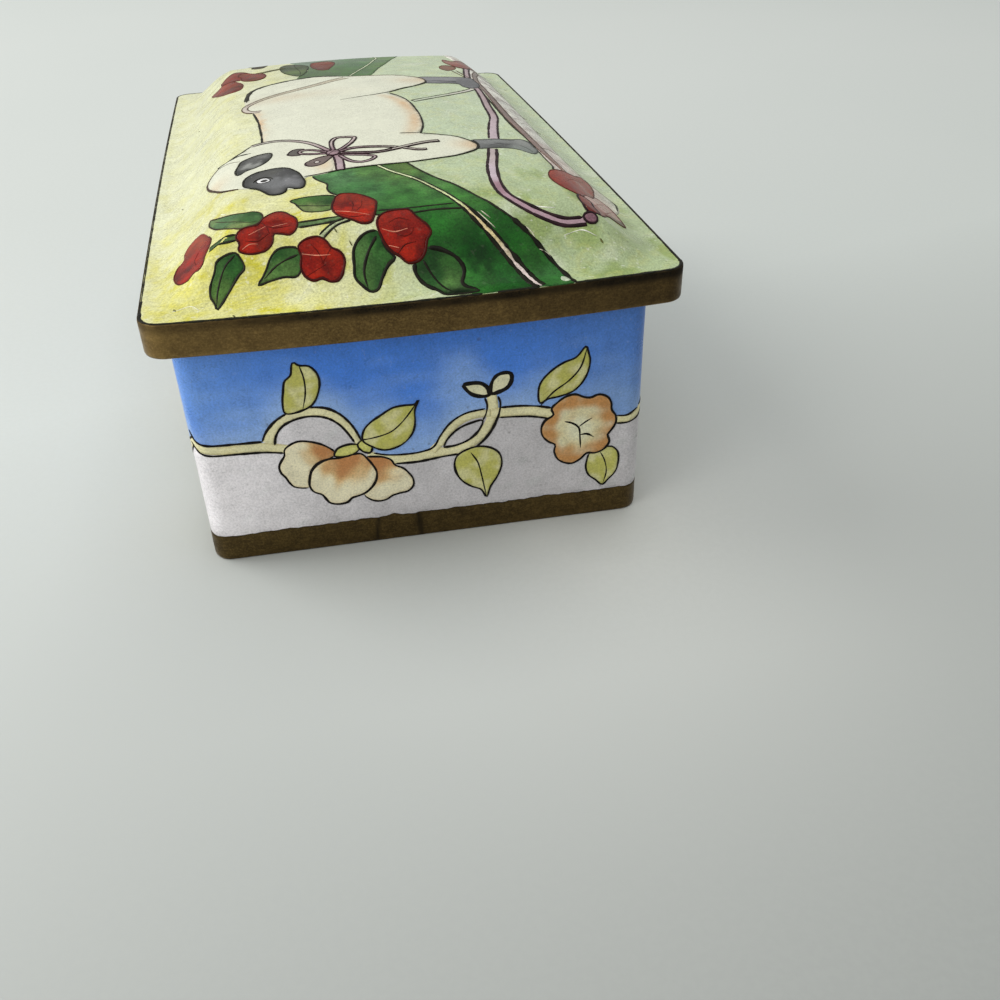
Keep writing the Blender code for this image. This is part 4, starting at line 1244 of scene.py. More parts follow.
def bow():
    """A mauve ribbon bow at the neck."""
    rule = blend([((220, 675), lin(150, 124, 130)), ((235, 630), lin(196, 182, 176)), ((220, 720), lin(170, 150, 154)), ((160, 602), lin(188, 184, 172)), ((320, 672), lin(184, 178, 166)), ((190, 620), lin(180, 168, 162))], 71, 0.06)
    smoke = blend([((176, 656), lin(86, 82, 76)), ((195, 700), lin(110, 96, 92))], 72, 0.08)
    ink = MAUVE_INK

    def loop(points, width, tone=rule, line=0.34):
        path = spline(points, False, 2.2)
        half = len(path) // 2
        for a, b in ((0, half + 1), (half, len(path))):
            poly, _, _ = strip(path[a:b], width)
            lid.field(poly, tone, "ribbon", closed_curve=False, line=0, grid=0.42)
        _, left, right = strip(path, width)
        lid.line(left, line, ink, is_path=True, taper=(0, 0))
        lid.line(right, line, ink, is_path=True, taper=(0, 0))
        lid.line(np.stack([left[-1], (left[-1] + right[-1]) / 2, right[-1]]), line, ink, is_path=True, taper=(0, 0))

    loop([(126, 607), (140, 602.5), (160, 605), (181, 617), (196, 633), (207, 652), (216, 670)], 6.0, line=0.28)
    loop([(222, 676), (223.5, 700), (222.5, 734)], 9.5, line=0.36)
    # left loop with its smoky fold
    lid.field([(167, 664), (169, 656), (174, 648), (182, 647.5), (188, 652), (184, 660), (184, 669), (176, 670)], smoke, "ribbon", line=0.34, tint=ink, grid=0.4)
    loop([(216, 676), (204, 664), (190, 656), (182, 657), (182, 665), (192, 671), (206, 675), (216, 678)], 4.2, line=0.28)
    loop([(221, 672), (219.5, 652), (221.5, 634), (228, 624), (240, 625), (248.5, 629), (246, 640), (240, 652), (232, 664), (224, 673)], 4.6, line=0.30)
    lid.field([(217, 684), (206, 685), (193, 692), (185, 701), (187, 710), (194.5, 713.4), (203.6, 710), (211, 700), (217, 689)], smoke, "ribbon", line=0.36, tint=ink, grid=0.4)
    lid.field([(195, 701), (198, 698), (202, 700), (201, 704), (197, 705)], shade(lin(214, 206, 198), seed=74), "ribbon", line=0.18, tint=ink, grid=0.35)
    loop([(226, 684), (240, 690), (256, 696), (265, 703), (260, 712), (249, 717), (238, 712), (231, 700), (226, 688)], 4.4, line=0.30)
    loop([(224, 676), (244, 668), (266, 670), (288, 676), (304, 684), (316, 691), (327, 692)], 4.6, line=0.26)
    loop([(226, 681), (246, 686), (270, 690), (290, 684), (310, 675), (330, 667), (346, 664)], 5.2, line=0.28)
    th = np.linspace(0, 2 * pi, 16, endpoint=False)
    lid.field(np.stack([219 + 8 * np.cos(th), 677 + 8.5 * np.sin(th)], 1), rule, "ribbon", line=0.38, tint=ink, grid=0.4)
    for pts in ([(211, 668), (220, 674), (228, 683)], [(224, 668), (216, 678), (211, 686)]):
        lid.line(pts, 0.26, ink)


def cord_and_tassel():
    """A mauve cord that runs down the right of the picture to a rolled mat with a red tassel."""
    ink = MAUVE_INK * 0.8
    thin = spline([(447, 388), (431, 410), (410, 430), (387, 448), (362, 465), (343, 477)], False, 2.6)
    poly, _, _ = strip(thin, 8.0)
    lid.field(poly, blend([((440, 395), lin(206, 204, 190)), ((350, 474), lin(196, 204, 180))], 81, 0.04), "ribbon", closed_curve=False, line=0.30, tint=OLIVE_INK * 1.6, grid=0.55)

    # the mat: slanting pale and mauve-grey stripes
    pale, mauve, green_grey = lin(228, 226, 214), lin(158, 142, 138), lin(198, 206, 184)

    def roll_rule(p, d):
        u, v = p[:, 0] * 7, p[:, 1] * 7
        n = wave(p[:, 0], p[:, 1], 83, 6.0)
        slant = (u - 500) * 2.1 + v + 10 * n
        s = 0.5 + 0.5 * np.sin(2 * pi * slant / 58.0 + 1.2 * np.sin(slant / 37.0))
        fine = 0.5 + 0.5 * np.sin(2 * pi * slant / 17.0 + n * 2)
        k = np.clip(0.60 * smoothstep(0.5, 1.0, s) + 0.12 * fine, 0, 1)
        c = pale[None, :] + (mauve - pale)[None, :] * k[:, None]
        g = smoothstep(492, 530, u + 4 * n)[:, None] * 0.6
        c = c + (green_grey[None, :] - c) * g
        pink = (0.35 * smoothstep(560, 690, v) * (1 - smoothstep(525, 545, u)))[:, None]
        c = c + (lin(190, 150, 140)[None, :] - c) * pink
        return c * (1 + 0.03 * n)[:, None]

    roll = [(452, 96), (480, 92), (508, 94), (520, 130), (516, 180), (512, 320), (510, 470), (514, 560), (525, 640), (541, 720), (545, 748), (540, 775), (524, 800), (500, 800), (480, 778), (466, 750), (462, 696), (459, 656), (454, 600), (452, 560), (452, 480), (453, 400), (452, 340), (456, 290), (462, 240), (456, 170)]
    lid.field(roll, roll_rule, "tassel", line=0, grid=0.75)
    lid.line([(520, 130), (516, 180), (512, 320), (510, 470), (514, 560), (525, 640), (541, 720), (545, 748), (539, 776)], 0.16, lin(140, 142, 124), taper=(2, 0.5))
    lid.line([(543, 736), (544, 750), (538, 774)], 0.34, lin(72, 76, 60), taper=(0.8, 0.5))
    # its left border, a mauve-brown band
    band = spline([(500, 100), (487, 183), (466, 280), (458, 340), (458, 400), (457, 480), (457, 560), (461, 610), (466, 660), (472, 700), (482, 740), (486, 760)], False, 2.6)
    poly, left, right = strip(band, widths(band, (0, 6), (0.5, 8), (0.75, 11), (0.9, 14), (1, 8)))
    lid.field(poly, blend([((462, 300), lin(132, 118, 110)), ((457, 500), lin(128, 110, 104)), ((466, 660), lin(140, 118, 110)), ((482, 740), lin(146, 112, 98))], 82, 0.08), "tassel", closed_curve=False, line=0, grid=0.6)
    lid.line(right, 0.20, BROWN_INK * 1.5, is_path=True, taper=(1, 2))
    lid.line(left, 0.20, BROWN_INK * 1.5, is_path=True, taper=(1, 2))
    lid.line([(450, 400), (450, 470), (450.5, 560), (452, 601), (458.5, 655), (461, 696), (463, 726), (465.5, 749), (462, 760)], 0.36, OLIVE_INK * 1.2, taper=(0.5, 0.2))
    for k in (0, 1, 3, 4, 6, 7, 9, 12):
        v0 = 150 + k * 40
        lean = 1 if v0 < 600 else 0.8
        lid.line([(474 + 3 * sin(k), v0 + 40), (492 + 2 * sin(2 * k), v0 + 4), (518 + 5 * sin(3 * k), v0 - 44 * lean)], 0.14, lin(130, 116, 108), taper=(2.5, 2.5))
    # cord: dark edges, pale mauve middle, laid over the chest's side of the paw
    left_cord = spline([(486, 104), (470, 190), (452, 290), (446, 340), (447, 400), (444, 455), (440, 500), (436, 560), (429, 590), (421.5, 624), (415.5, 656)], False, 2.6)
    low_cord = spline([(405.5, 695), (399.5, 724), (392.5, 753), (387.5, 787), (386, 814), (388, 837), (394, 853), (406.5, 866), (424.5, 877), (443, 883.5), (466, 883)], False, 2.6)
    cord_tone = blend([((440, 500), lin(168, 148, 150)), ((421, 624), lin(186, 168, 174)), ((389, 780), lin(192, 176, 184)), ((386, 815), lin(154, 120, 130)), ((396, 855), lin(166, 136, 146)), ((440, 883), lin(170, 142, 150)), ((405, 710), lin(180, 166, 164))], 84, 0.06)
    for path, wide, line in ((left_cord, ((0, 8), (0.5, 8), (0.8, 10), (1, 12)), 0.42), (low_cord, ((0, 9.5), (0.3, 11), (0.6, 10), (0.8, 8), (1, 7.5)), 0.54)):
        poly, left, right = strip(path, widths(path, *wide))
        lid.field(poly, cord_tone, "ribbon", closed_curve=False, line=0, grid=0.45)
        lid.line(left, line, ink, is_path=True, taper=(0, 0), wobble=0.12)
        lid.line(right, line, ink, is_path=True, taper=(0, 0), wobble=0.12)
    # red tassel ends
    dusk = lin(146, 78, 66)
    lobes = (
        ([(465, 760), (456, 771), (451, 783), (449.5, 796), (452, 812), (458.6, 826), (468, 831), (477, 829), (488, 815), (499.5, 794), (511, 765), (520, 735), (527, 708), (529, 680), (524, 668), (514, 684), (504, 706), (492, 726), (478, 745)],
         blend([((522, 690), lin(168, 112, 102)), ((508, 725), lin(158, 92, 80)), ((485, 760), lin(160, 86, 70)), ((462, 790), lin(158, 78, 64)), ((475, 815), lin(136, 62, 52)), ((495, 790), lin(146, 84, 72))], 85, 0.10)),
        ([(484, 815), (500, 792), (514, 766), (524, 770), (528, 800), (527, 828), (523, 845), (508, 841), (499.5, 849), (495, 860), (486, 871), (478, 862), (478, 838)],
         blend([((510, 790), lin(204, 176, 166)), ((495, 820), lin(208, 172, 162)), ((520, 815), lin(186, 162, 150)), ((505, 845), lin(134, 78, 70)), ((522, 838), lin(92, 84, 64))], 87, 0.08)),
        ([(471, 834), (467.7, 853), (470, 871), (476.8, 876), (486, 870), (484, 850), (486, 832), (478, 829)],
         blend([((474, 850), lin(128, 66, 58)), ((482, 865), lin(112, 58, 54)), ((478, 836), lin(140, 74, 62))], 88, 0.08)),
    )
    for k, (shape, rule) in enumerate(lobes):
        lid.field(shape, deepened(rule, ((0.78, 0.60, 0.54), (0.86, 0.80, 0.78), (0.84, 0.72, 0.68))[k]), "tassel", line=0.22 if k != 2 else 0.36, tint=lin(84, 40, 32) if k != 2 else ink, grid=0.5)
    for pts, tone in (
        ([(520, 690), (506, 724), (484, 762), (466, 800)], dusk * 0.8),
        ([(508, 712), (490, 742), (470, 772)], lin(172, 110, 96)),
        ([(520, 776), (504, 806), (490, 836)], lin(150, 104, 96)), ([(526, 790), (512, 818), (500, 842)], lin(160, 116, 106)),
    ):
        lid.line(pts, 0.16, tone, taper=(1.5, 1.5))
    lid.field([(464.5, 878.5), (469, 875), (476, 875), (479.5, 880.5), (477, 885), (470.5, 885.5), (466, 883)], shade(lin(122, 88, 98), seed=89), "tassel", line=0.34, tint=ink, grid=0.35)
    # a second, small red end at the far side
    lid.field([(438, 155), (435, 176), (440, 204), (452, 232), (464, 226), (474, 190), (487, 150), (497, 108), (478, 120), (462, 150), (450, 172)],
              blend([((448, 180), lin(146, 104, 92)), ((470, 170), lin(140, 92, 84)), ((456, 215), lin(126, 76, 68))], 90, 0.06), "tassel", line=0.14, tint=lin(90, 56, 46), grid=0.6)
    lid.field([(421, 225), (431, 211), (442, 218), (445, 235), (438, 252), (428, 261), (420, 249)], blend([((430, 235), lin(122, 84, 62))], 91, 0.08), "tassel", line=0.16, tint=lin(80, 52, 38), grid=0.5)
    lid.line([(434, 262), (440, 290), (446, 320)], 0.20, BROWN_INK * 1.4)
    lid.line([(441, 258), (446, 288), (451, 318)], 0.20, BROWN_INK * 1.4)


def loose_marks():
    """Small stray marks fired into the ground, and fine marks along the near shoulder painted pale as glints of light.
    """
    for u, v, w in ((36, 652, 0.2), (252, 655, 0.26), (93, 951, 0.3), (36, 924, 0.34), (478, 903, 0.3), (216, 888, 0.26), (132, 912, 0.24), (203, 874, 0.22), (273, 488, 0.22), (50, 348, 0.2), (545, 140, 0.26)):
        lid.line([(u - 1.0, v - 2.5), (u, v), (u + 1.2, v + 2.4)], w, lin(96, 96, 54), taper=(0.1, 0.1))
    # painted glints: fine pale marks along the near shoulder where light catches them
    for pts in ([(34, 926), (52, 924), (60, 932)], [(404, 862), (420, 866), (436, 868)], [(440, 896), (460, 892), (474, 898)], [(88, 796), (94, 806)], [(258, 790), (264, 796)], [(302, 800), (318, 806)]):
        lid.line(pts, 0.14, lin(240, 240, 226), taper=(0.8, 0.8), wobble=0.4)


def enamel_edge():
    """The dark, ragged seam between the lid's enamel and its brass lip."""
    p = rounded_rectangle(LID_W / 2 - 0.42, LID_D / 2 - 0.42, 2.8, 8, 150, 250)
    X, Y = bowed(p[:, 0], p[:, 1])
    path = resample(np.stack([(X + 40.0) * 7, (68.0 - Y) * 7], 1)[list(range(len(X))) + [0]], 2.2, True)
    n = len(path)
    at = np.arange(n) * 2.2 / 7
    front = smoothstep(880, 945, path[:, 1])
    right = smoothstep(300, 540, path[:, 0])
    wide = 0.20 + 0.08 * right + 0.38 * front + (0.05 + 0.09 * front) * wave(at, 0 * at, 95, 2.6) + 0.06 * wave(at, 0 * at, 96, 0.8)
    # drawn in short runs so that the width can follow the seam
    run = 14
    for a in range(0, n, run):
        idx = [(a + k) % n for k in range(min(run, n - a) + 2)]
        seg = path[idx]
        lid.line(seg, float(np.clip(wide[idx].mean(), 0.14, 0.62)), OLIVE_INK * 0.7, is_path=True, taper=(0, 0), wobble=0.16)


loose_marks()
enamel_edge()
big_leaf()
sprays()
cord_and_tassel()
animal()
bow()
lid.build(
    "lid",
    {"leaf": paint_mat, "blossoms": paint_mat, "animal": cream_mat, "ribbon": cream_mat, "tassel": paint_mat},
    "lid_enamel",
)


# ------------------------------------------------------------ frieze on the walls
WALL_CREAM = lin(236, 230, 184)
LEAF_G = lin(196, 193, 100)
LEAF_PALE = lin(226, 222, 170)
PETAL = lin(238, 230, 196)
PETAL_BROWN = lin(184, 112, 56)
LAVENDER = lin(221, 217, 219)
BLUE_TOP = lin(72, 132, 228)
BLUE_LOW = lin(138, 176, 236)

MODULES = []  # (middle, stretch, first) of each repeat along the walls
rest_of_walls = GIRTH - 73.0
MODULES.append((0.0, 1.0, True))
for k in range(4):
    w = rest_of_walls / 4
    MODULES.append((36.5 + w * (k + 0.5), w / 73.05, False))


def edge_heights(first, last_in_row):
    """Heights of the vine's middle along one repeat, in drawing units."""
    pts = [(50, 362), (150, 372), (222, 366), (235, 335), (262, 298), (290, 276), (335, 262), (400, 262), (450, 282), (486, 322), (506, 362), (530, 410), (600, 468), (700, 470), (765, 446), (800, 392), (850, 354), (920, 340), (980, 345), (1060, 347), (1140, 368), (1240, 420)]
    left = [(0, 338)] if first else [(0, 404), (30, 386)]
    right = [(1365, 412), (1425, 372), (1461, 340)] if last_in_row else [(1365, 416), (1425, 408), (1461, 400)]
    return left + pts + right


BOUND_S, BOUND_Z = [], []
for k, (mid, st, first) in enumerate(MODULES):
    for px, py in edge_heights(first, k == len(MODULES) - 1):
        BOUND_S.append(mid + (px / 20.0 - 36.525) * st)
        BOUND_Z.append(39.51 - py / 20.0)
BOUND_S, BOUND_Z = np.array(BOUND_S), np.array(BOUND_Z)


def vine_height(s):
    s = np.mod(np.asarray(s, float) + 36.5, GIRTH) - 36.5
    return np.interp(s, BOUND_S, BOUND_Z)


def wall_colour(s, z):
    b = vine_height(s)
    X, Y, _, _ = around(s)
    up = np.clip((z - b) / np.maximum(39.5 - b, 4), 0, 1)
    cloud = wave(X + Y, z * 1.3 + X * 0.3, 61, 17) + 0.35 * wave(X - Y, z * 2 - Y * 0.3, 62, 6)
    fine = wave(X - Y, z * 1.4, 63, 2.2)
    k = smoothstep(0.02, 0.74, up + 0.20 * cloud)
    k = np.maximum(k, 0.9 * np.exp(-(((np.mod(s + 36.0, GIRTH / 2)) / 3.5) ** 2)) * (z > b))
    blue = BLUE_LOW[None, :] + (BLUE_TOP - BLUE_LOW)[None, :] * k[:, None]
    # whitish haze where the colour was laid thin along the vine
    haze = np.exp(-(((z - b) / 3.2) ** 2)) * (0.30 + 0.22 * cloud)
    blue = blue + (lin(176, 200, 226)[None, :] - blue) * np.clip(haze, 0, 0.6)[:, None]
    blue = blue * (1 + 0.035 * fine)[:, None]
    # painted light and shade on the front: bluer and paler at its left end, greyer at its right end
    front = np.exp(-np.clip(Y + BODY_Y - 1.5, 0, None) / 2.0)
    thin = (front * smoothstep(-14, -36, X) * 0.40 * smoothstep(0, 9, z - b))[:, None]
    blue = blue + (lin(132, 176, 236)[None, :] - blue) * thin
    grey = (front * smoothstep(12, 34, X) * 0.35)[:, None]
    blue = blue + (lin(96, 128, 172)[None, :] - blue) * grey
    # paler along the top edge, where the coat is thin
    rim = smoothstep(40.4, 41.6, z) * 0.25
    blue = blue + (lin(120, 140, 170)[None, :] - blue) * rim[:, None]
    lav = LAVENDER[None, :] * (1 + 0.03 * wave(X + Y, z, 64, 8) + 0.025 * wave(X - Y, z * 1.3, 65, 2.4))[:, None]
    green = smoothstep(0.6, 1.4, wave(X + Y, z * 1.2, 67, 5))[:, None] * 0.16
    lav = lav + (lin(188, 200, 190)[None, :] - lav) * green
    # darker towards the bottom, next to the foot strip
    grime_and_shade = 0.26 * np.exp(-np.clip(z - 5.0, 0, 9) / 0.7) * (0.6 + 0.5 * wave(X + Y, z, 66, 4))
    lav = lav * (1 - np.clip(grime_and_shade, 0, 0.5))[:, None]
    # painted light and shade: the front's lavender is lighter at its left end and darker towards its right
    lav = lav * (1 + front * (0.26 - 0.42 * smoothstep(-34, -6, X)))[:, None]
    pick = smoothstep(-0.25, 0.25, z - b)[:, None]
    return lav + (blue - lav) * pick


def wall_ground():
    n = 790
    s = np.arange(n) * GIRTH / n
    zs = [4.55, 4.56] + list(np.linspace(4.9, ENAMEL_TOP - 0.25, 68)) + [ENAMEL_TOP - 0.05, ENAMEL_TOP]
    off = [-0.9, 0.0] + [0.0] * 68 + [-0.12, -0.5]
    rows, tints = [], []
    for z, o in zip(zs, off):
        rows.append(on_wall(s, np.full(n, z), np.full(n, o)))
        tints.append(wall_colour(s, np.full(n, z)))
    rows.append(on_wall(s, np.full(n, ENAMEL_TOP), np.full(n, -0.9)))
    tints.append(tints[-1])
    v = np.concatenate(rows)
    faces = stack(rows)
    last = (len(rows) - 1) * n
    for i in range(n):
        j = (i + 1) % n
        faces.append((last + i, last + j, j, i))
    obj = to_object("wall_enamel_ground", v, faces, np.concatenate(tints), wall_mat, True)
    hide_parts("body_enamel")


def wall_leaf_rule(seed, base=LEAF_G, pale=LEAF_PALE):
    def rule(p, d):
        n = wave(p[:, 0], p[:, 1], seed, 4.2) + 0.5 * wave(p[:, 0], p[:, 1], seed + 1, 1.8)
        k = smoothstep(-0.1, 0.9, n + 0.25)
        c = base[None, :] + (pale - base)[None, :] * (0.75 * k)[:, None]
        tint = smoothstep(0.3, 1.2, wave(p[:, 0], p[:, 1], seed + 5, 2.6))[:, None] * 0.4
        c = c + (lin(196, 186, 120)[None, :] - c) * tint
        edge = 0.35 * np.exp(-((d / 0.35) ** 2))
        return c + (lin(166, 166, 104)[None, :] - c) * edge[:, None]

    return rule


def petal_rule(seed, centre, reach, strength=0.9, rim=0.25):
    cx, cy = centre

    def rule(p, d):
        r = np.hypot(p[:, 0] - cx, p[:, 1] - cy) / reach
        n = wave(p[:, 0], p[:, 1], seed, 3.0)
        k = strength * (1 - smoothstep(0.15, 1.0, r + 0.12 * n))
        k = np.maximum(k, rim * np.exp(-((d / 0.5) ** 2)))
        c = PETAL[None, :] * (1 + 0.05 * n)[:, None]
        warm = lin(228, 196, 140)
        c = c + (warm[None, :] - c) * smoothstep(0.0, 0.6, k)[:, None]
        return c + (PETAL_BROWN[None, :] - c) * (smoothstep(0.3, 1.0, k) * 0.85)[:, None]

    return rule


def frieze():
    wall = Drawing(on_wall, 1.0, 0.045)
    for number, (mid, st, first) in enumerate(MODULES):
        r = np.random.default_rng(90 + number)
        shake = 0.0 if first else 5.0
        last_in_row = number == len(MODULES) - 1

        def M(points, loose=1.0, dx=0.0, dy=0.0):
            q = np.array(points, float)
            q = q + r.uniform(-1, 1, q.shape) * shake * loose
            q = q + np.array([[dx, dy]])
            return np.stack([mid + (q[:, 0] / 20.0 - 36.525) * st, 39.51 - q[:, 1] / 20.0], 1)

        def P(x, y):
            return (mid + (x / 20.0 - 36.525) * st, 39.51 - y / 20.0)

        s0 = 200 + 40 * number
        cream = shade(WALL_CREAM, lin(206, 186, 110), 0.35, 0.4, s0, 5.0, 0.04)

        def band(points, width):
            path = spline(M(points, 0.4), False, 0.4)
            poly, _, _ = strip(path, width)
            wall.field(poly, cream, "vine", closed_curve=False, line=0, grid=0.6)

        # vine fields
        start = [(-8, 330), (22, 352)] if first else [(-8, 404), (30, 392)]
        band(start + [(70, 364), (150, 370), (230, 374), (300, 392)], 1.6)
        outer = [(222, 352), (238, 320), (275, 282), (328, 256), (380, 250), (430, 259), (470, 286), (500, 326), (518, 366), (526, 392)]
        inner = [(258, 370), (266, 338), (290, 306), (330, 287), (380, 281), (428, 293), (462, 320), (484, 352), (500, 384), (506, 400)]
        op, ip = spline(M(outer, 0.3), False, 0.4), spline(M(inner, 0.3), False, 0.4)
        wall.field(np.concatenate([op, ip[::-1]]), cream, "vine", closed_curve=False, line=0, grid=0.6)
        band([(540, 448), (620, 472), (700, 474), (780, 466), (842, 460), (886, 440), (922, 406), (945, 366), (953, 326), (948, 278)], 1.65)
        band([(748, 458), (782, 424), (816, 380), (862, 350), (905, 342), (945, 342)], 1.35)
        band([(945, 344), (1010, 345), (1070, 350), (1130, 364), (1170, 380)], 1.75)
        if last_in_row:
            band([(1330, 420), (1380, 408), (1425, 372), (1466, 340)], 1.3)
        else:
            band([(1340, 418), (1400, 420), (1436, 412), (1468, 404)], 1.3)
        wall.order += 1
        # vine outlines
        ink = 0.36

        def line(points, width=ink, taper=(0.2, 0.2), tint=BLACK):
            wall.line(M(points, 0.4), width, tint, taper=taper)

        if first:
            line([(-8, 300), (4, 318), (20, 336), (60, 347), (140, 351), (222, 353)], 0.42)
            line([(-8, 340), (8, 356), (26, 374), (62, 384), (150, 388), (230, 393), (290, 404)], 0.40)
        else:
            line([(-8, 386), (40, 372), (90, 356), (150, 352), (222, 353)])
            line([(-8, 420), (40, 408), (90, 392), (150, 388), (230, 393), (290, 404)])
        wall.line(op, 0.38, BLACK, is_path=True, taper=(0.1, 0.2))
        wall.line(ip, 0.42, BLACK, is_path=True, taper=(0.1, 0.2))
        line([(560, 440), (600, 452), (660, 458), (712, 456), (752, 444), (778, 404), (812, 362), (860, 334), (926, 324)], 0.30)
        line([(618, 489), (700, 492), (780, 484), (850, 478), (900, 456), (940, 414), (962, 372), (972, 342), (976, 310), (969, 284)], 0.42)
        line([(786, 448), (800, 420), (838, 386), (884, 369), (917, 366), (904, 400), (872, 430), (830, 446), (786, 450)], 0.38, (0.1, 0.1))
        line([(917, 366), (928, 344), (933, 312), (926, 284)], 0.30)
        line([(976, 326), (1040, 328), (1096, 336), (1150, 350)], 0.36)
        line([(972, 362), (1030, 366), (1080, 372), (1140, 388)], 0.34)
        if last_in_row:
            line([(1350, 404), (1386, 392), (1420, 352), (1466, 318)])
            line([(1350, 434), (1396, 420), (1436, 386), (1466, 352)])
        else:
            line([(1356, 404), (1398, 408), (1430, 396), (1468, 388)])
            line([(1356, 434), (1400, 436), (1434, 430), (1468, 422)])

        # petals of the hanging flower
        p3 = M([(530, 452), (560, 453), (590, 459), (614, 474), (624, 494), (650, 510), (666, 530), (679, 555), (678, 582), (660, 601), (630, 606), (606, 612), (585, 625), (552, 626), (528, 612), (516, 596), (540, 560), (556, 520), (548, 480)])
        wall.field(p3, petal_rule(s0 + 3, P(560, 470), 6.6 * st), "petals", line=0.34, grid=0.5)
        p1 = M([(302, 376), (332, 366), (376, 375), (414, 395), (440, 424), (424, 440), (392, 447), (366, 466), (352, 492), (346, 518), (346, 540), (322, 541), (296, 532), (282, 512), (275, 494), (262, 474), (260, 450), (270, 430), (282, 412), (284, 392)])
        wall.field(p1, petal_rule(s0 + 4, P(420, 405), 5.6 * st), "petals", line=0.34, grid=0.5)
        p2 = M([(446, 444), (484, 438), (518, 436), (534, 452), (552, 482), (563, 510), (560, 540), (545, 566), (520, 588), (494, 597), (474, 602), (460, 616), (430, 620), (402, 611), (390, 592), (380, 575), (356, 561), (345, 535), (350, 505), (362, 476), (386, 455), (416, 443)])
        wall.field(p2, petal_rule(s0 + 5, P(470, 455), 6.4 * st), "petals", line=0.38, grid=0.5)
        calyx = shade(lin(214, 212, 122), lin(150, 152, 60), 0.4, 0.6, s0 + 6, 2.0, 0.06)
        wall.field(M([(436, 434), (446, 410), (478, 398), (508, 400), (518, 414), (500, 432), (468, 440)]), calyx, "leaves", line=0.34, grid=0.5)
        wall.field(M([(512, 400), (528, 388), (548, 398), (557, 418), (550, 436), (532, 432), (516, 416)]), calyx, "leaves", line=0.34, grid=0.5)

        # leaves
        def wall_leaf(outline, rib, k, dark=False):
            jx, jy = (0, 0) if first else (r.uniform(-10, 10), r.uniform(-8, 8))
            wall.field(M(outline, 0.8, jx, jy), wall_leaf_rule(s0 + 10 + k), "leaves", line=0.34, grid=0.5)
            wall.line(M(rib, 0.5, jx, jy), 0.26, BLACK, taper=(0.3, 0.9))

        wall_leaf([(306, 262), (302, 228), (310, 182), (318, 152), (338, 134), (346, 100), (352, 92), (366, 104), (396, 110), (416, 136), (421, 166), (412, 204), (396, 234), (372, 252)], [(368, 106), (376, 150), (374, 200), (360, 252)], 1)
        wall_leaf([(530, 388), (538, 350), (560, 326), (592, 306), (634, 283), (672, 279), (704, 279), (716, 264), (702, 300), (700, 342), (690, 380), (660, 414), (624, 430), (590, 431), (560, 416)], [(522, 386), (572, 381), (622, 367), (662, 334), (714, 268)], 2)
        wall_leaf([(830, 486), (868, 466), (906, 462), (946, 475), (970, 500), (976, 540), (960, 586), (936, 624), (921, 664), (904, 632), (870, 613), (840, 586), (822, 550), (819, 512)], [(874, 482), (895, 520), (906, 570), (915, 625), (921, 662)], 3)
        wall_leaf([(1106, 326), (1100, 286), (1108, 252), (1140, 216), (1182, 190), (1222, 176), (1254, 142), (1262, 165), (1268, 190), (1262, 230), (1245, 266), (1215, 295), (1170, 309), (1132, 314)], [(1108, 334), (1150, 290), (1200, 255), (1236, 214), (1258, 142)], 4)
        wall_leaf([(1276, 542), (1310, 531), (1350, 522), (1374, 545), (1379, 580), (1370, 626), (1345, 655), (1326, 674), (1300, 650), (1275, 626), (1265, 595), (1268, 565)], [(1314, 540), (1330, 575), (1338, 620), (1327, 672)], 5)

        # two-leaved bud, thickly outlined
        bud = shade(lin(232, 228, 190), lin(196, 190, 130), 0.3, 0.5, s0 + 20, 2.0, 0.05)
        wall.field(M([(940, 276), (914, 278), (884, 266), (864, 242), (860, 232), (886, 228), (916, 232), (936, 250)], 0.5), bud, "leaves", line=0.70, grid=0.4)
        wall.field(M([(948, 272), (948, 240), (964, 212), (990, 203), (1011, 208), (1014, 230), (1001, 255), (974, 268)], 0.5), bud, "leaves", line=0.66, grid=0.4)

        # open scalloped flower
        f2 = M([(1150, 374), (1143, 352), (1164, 330), (1190, 313), (1222, 308), (1252, 322), (1274, 326), (1300, 318), (1330, 330), (1344, 354), (1346, 380), (1361, 404), (1362, 432), (1346, 460), (1336, 474), (1343, 500), (1326, 528), (1296, 540), (1266, 537), (1246, 556), (1215, 571), (1184, 562), (1164, 544), (1154, 514), (1157, 490), (1134, 475), (1114, 450), (1110, 420), (1122, 394)])
        c2 = P(1238, 436)

        def open_rule(p, d, c2=c2, seed=s0 + 30):
            rr = np.hypot(p[:, 0] - c2[0], p[:, 1] - c2[1]) / (6.4 * st)
            n = wave(p[:, 0], p[:, 1], seed, 2.6)
            k = smoothstep(0.30, 0.80, rr + 0.14 * n)
            centre = lin(232, 230, 196)
            c = centre[None, :] + (lin(200, 144, 84) - centre)[None, :] * k[:, None]
            c = c + (lin(224, 206, 148)[None, :] - c) * (0.5 * np.exp(-(((rr - 0.42) / 0.14) ** 2)))[:, None]
            edge = 0.35 * np.exp(-((d / 0.35) ** 2))
            return c + (lin(216, 176, 124)[None, :] - c) * edge[:, None]

        wall.field(f2, open_rule, "petals", line=0.38, grid=0.5)
        for pts in ([(1188, 405), (1212, 413), (1236, 434), (1241, 470), (1244, 512)], [(1236, 431), (1256, 416), (1281, 402)], [(1240, 462), (1264, 461), (1288, 476)]):
            wall.line(M(pts, 0.5), 0.36, BLACK, taper=(0.3, 0.5))
    wall.build("wall", {"vine": wall_paint, "petals": wall_paint, "leaves": wall_paint}, "body_enamel")


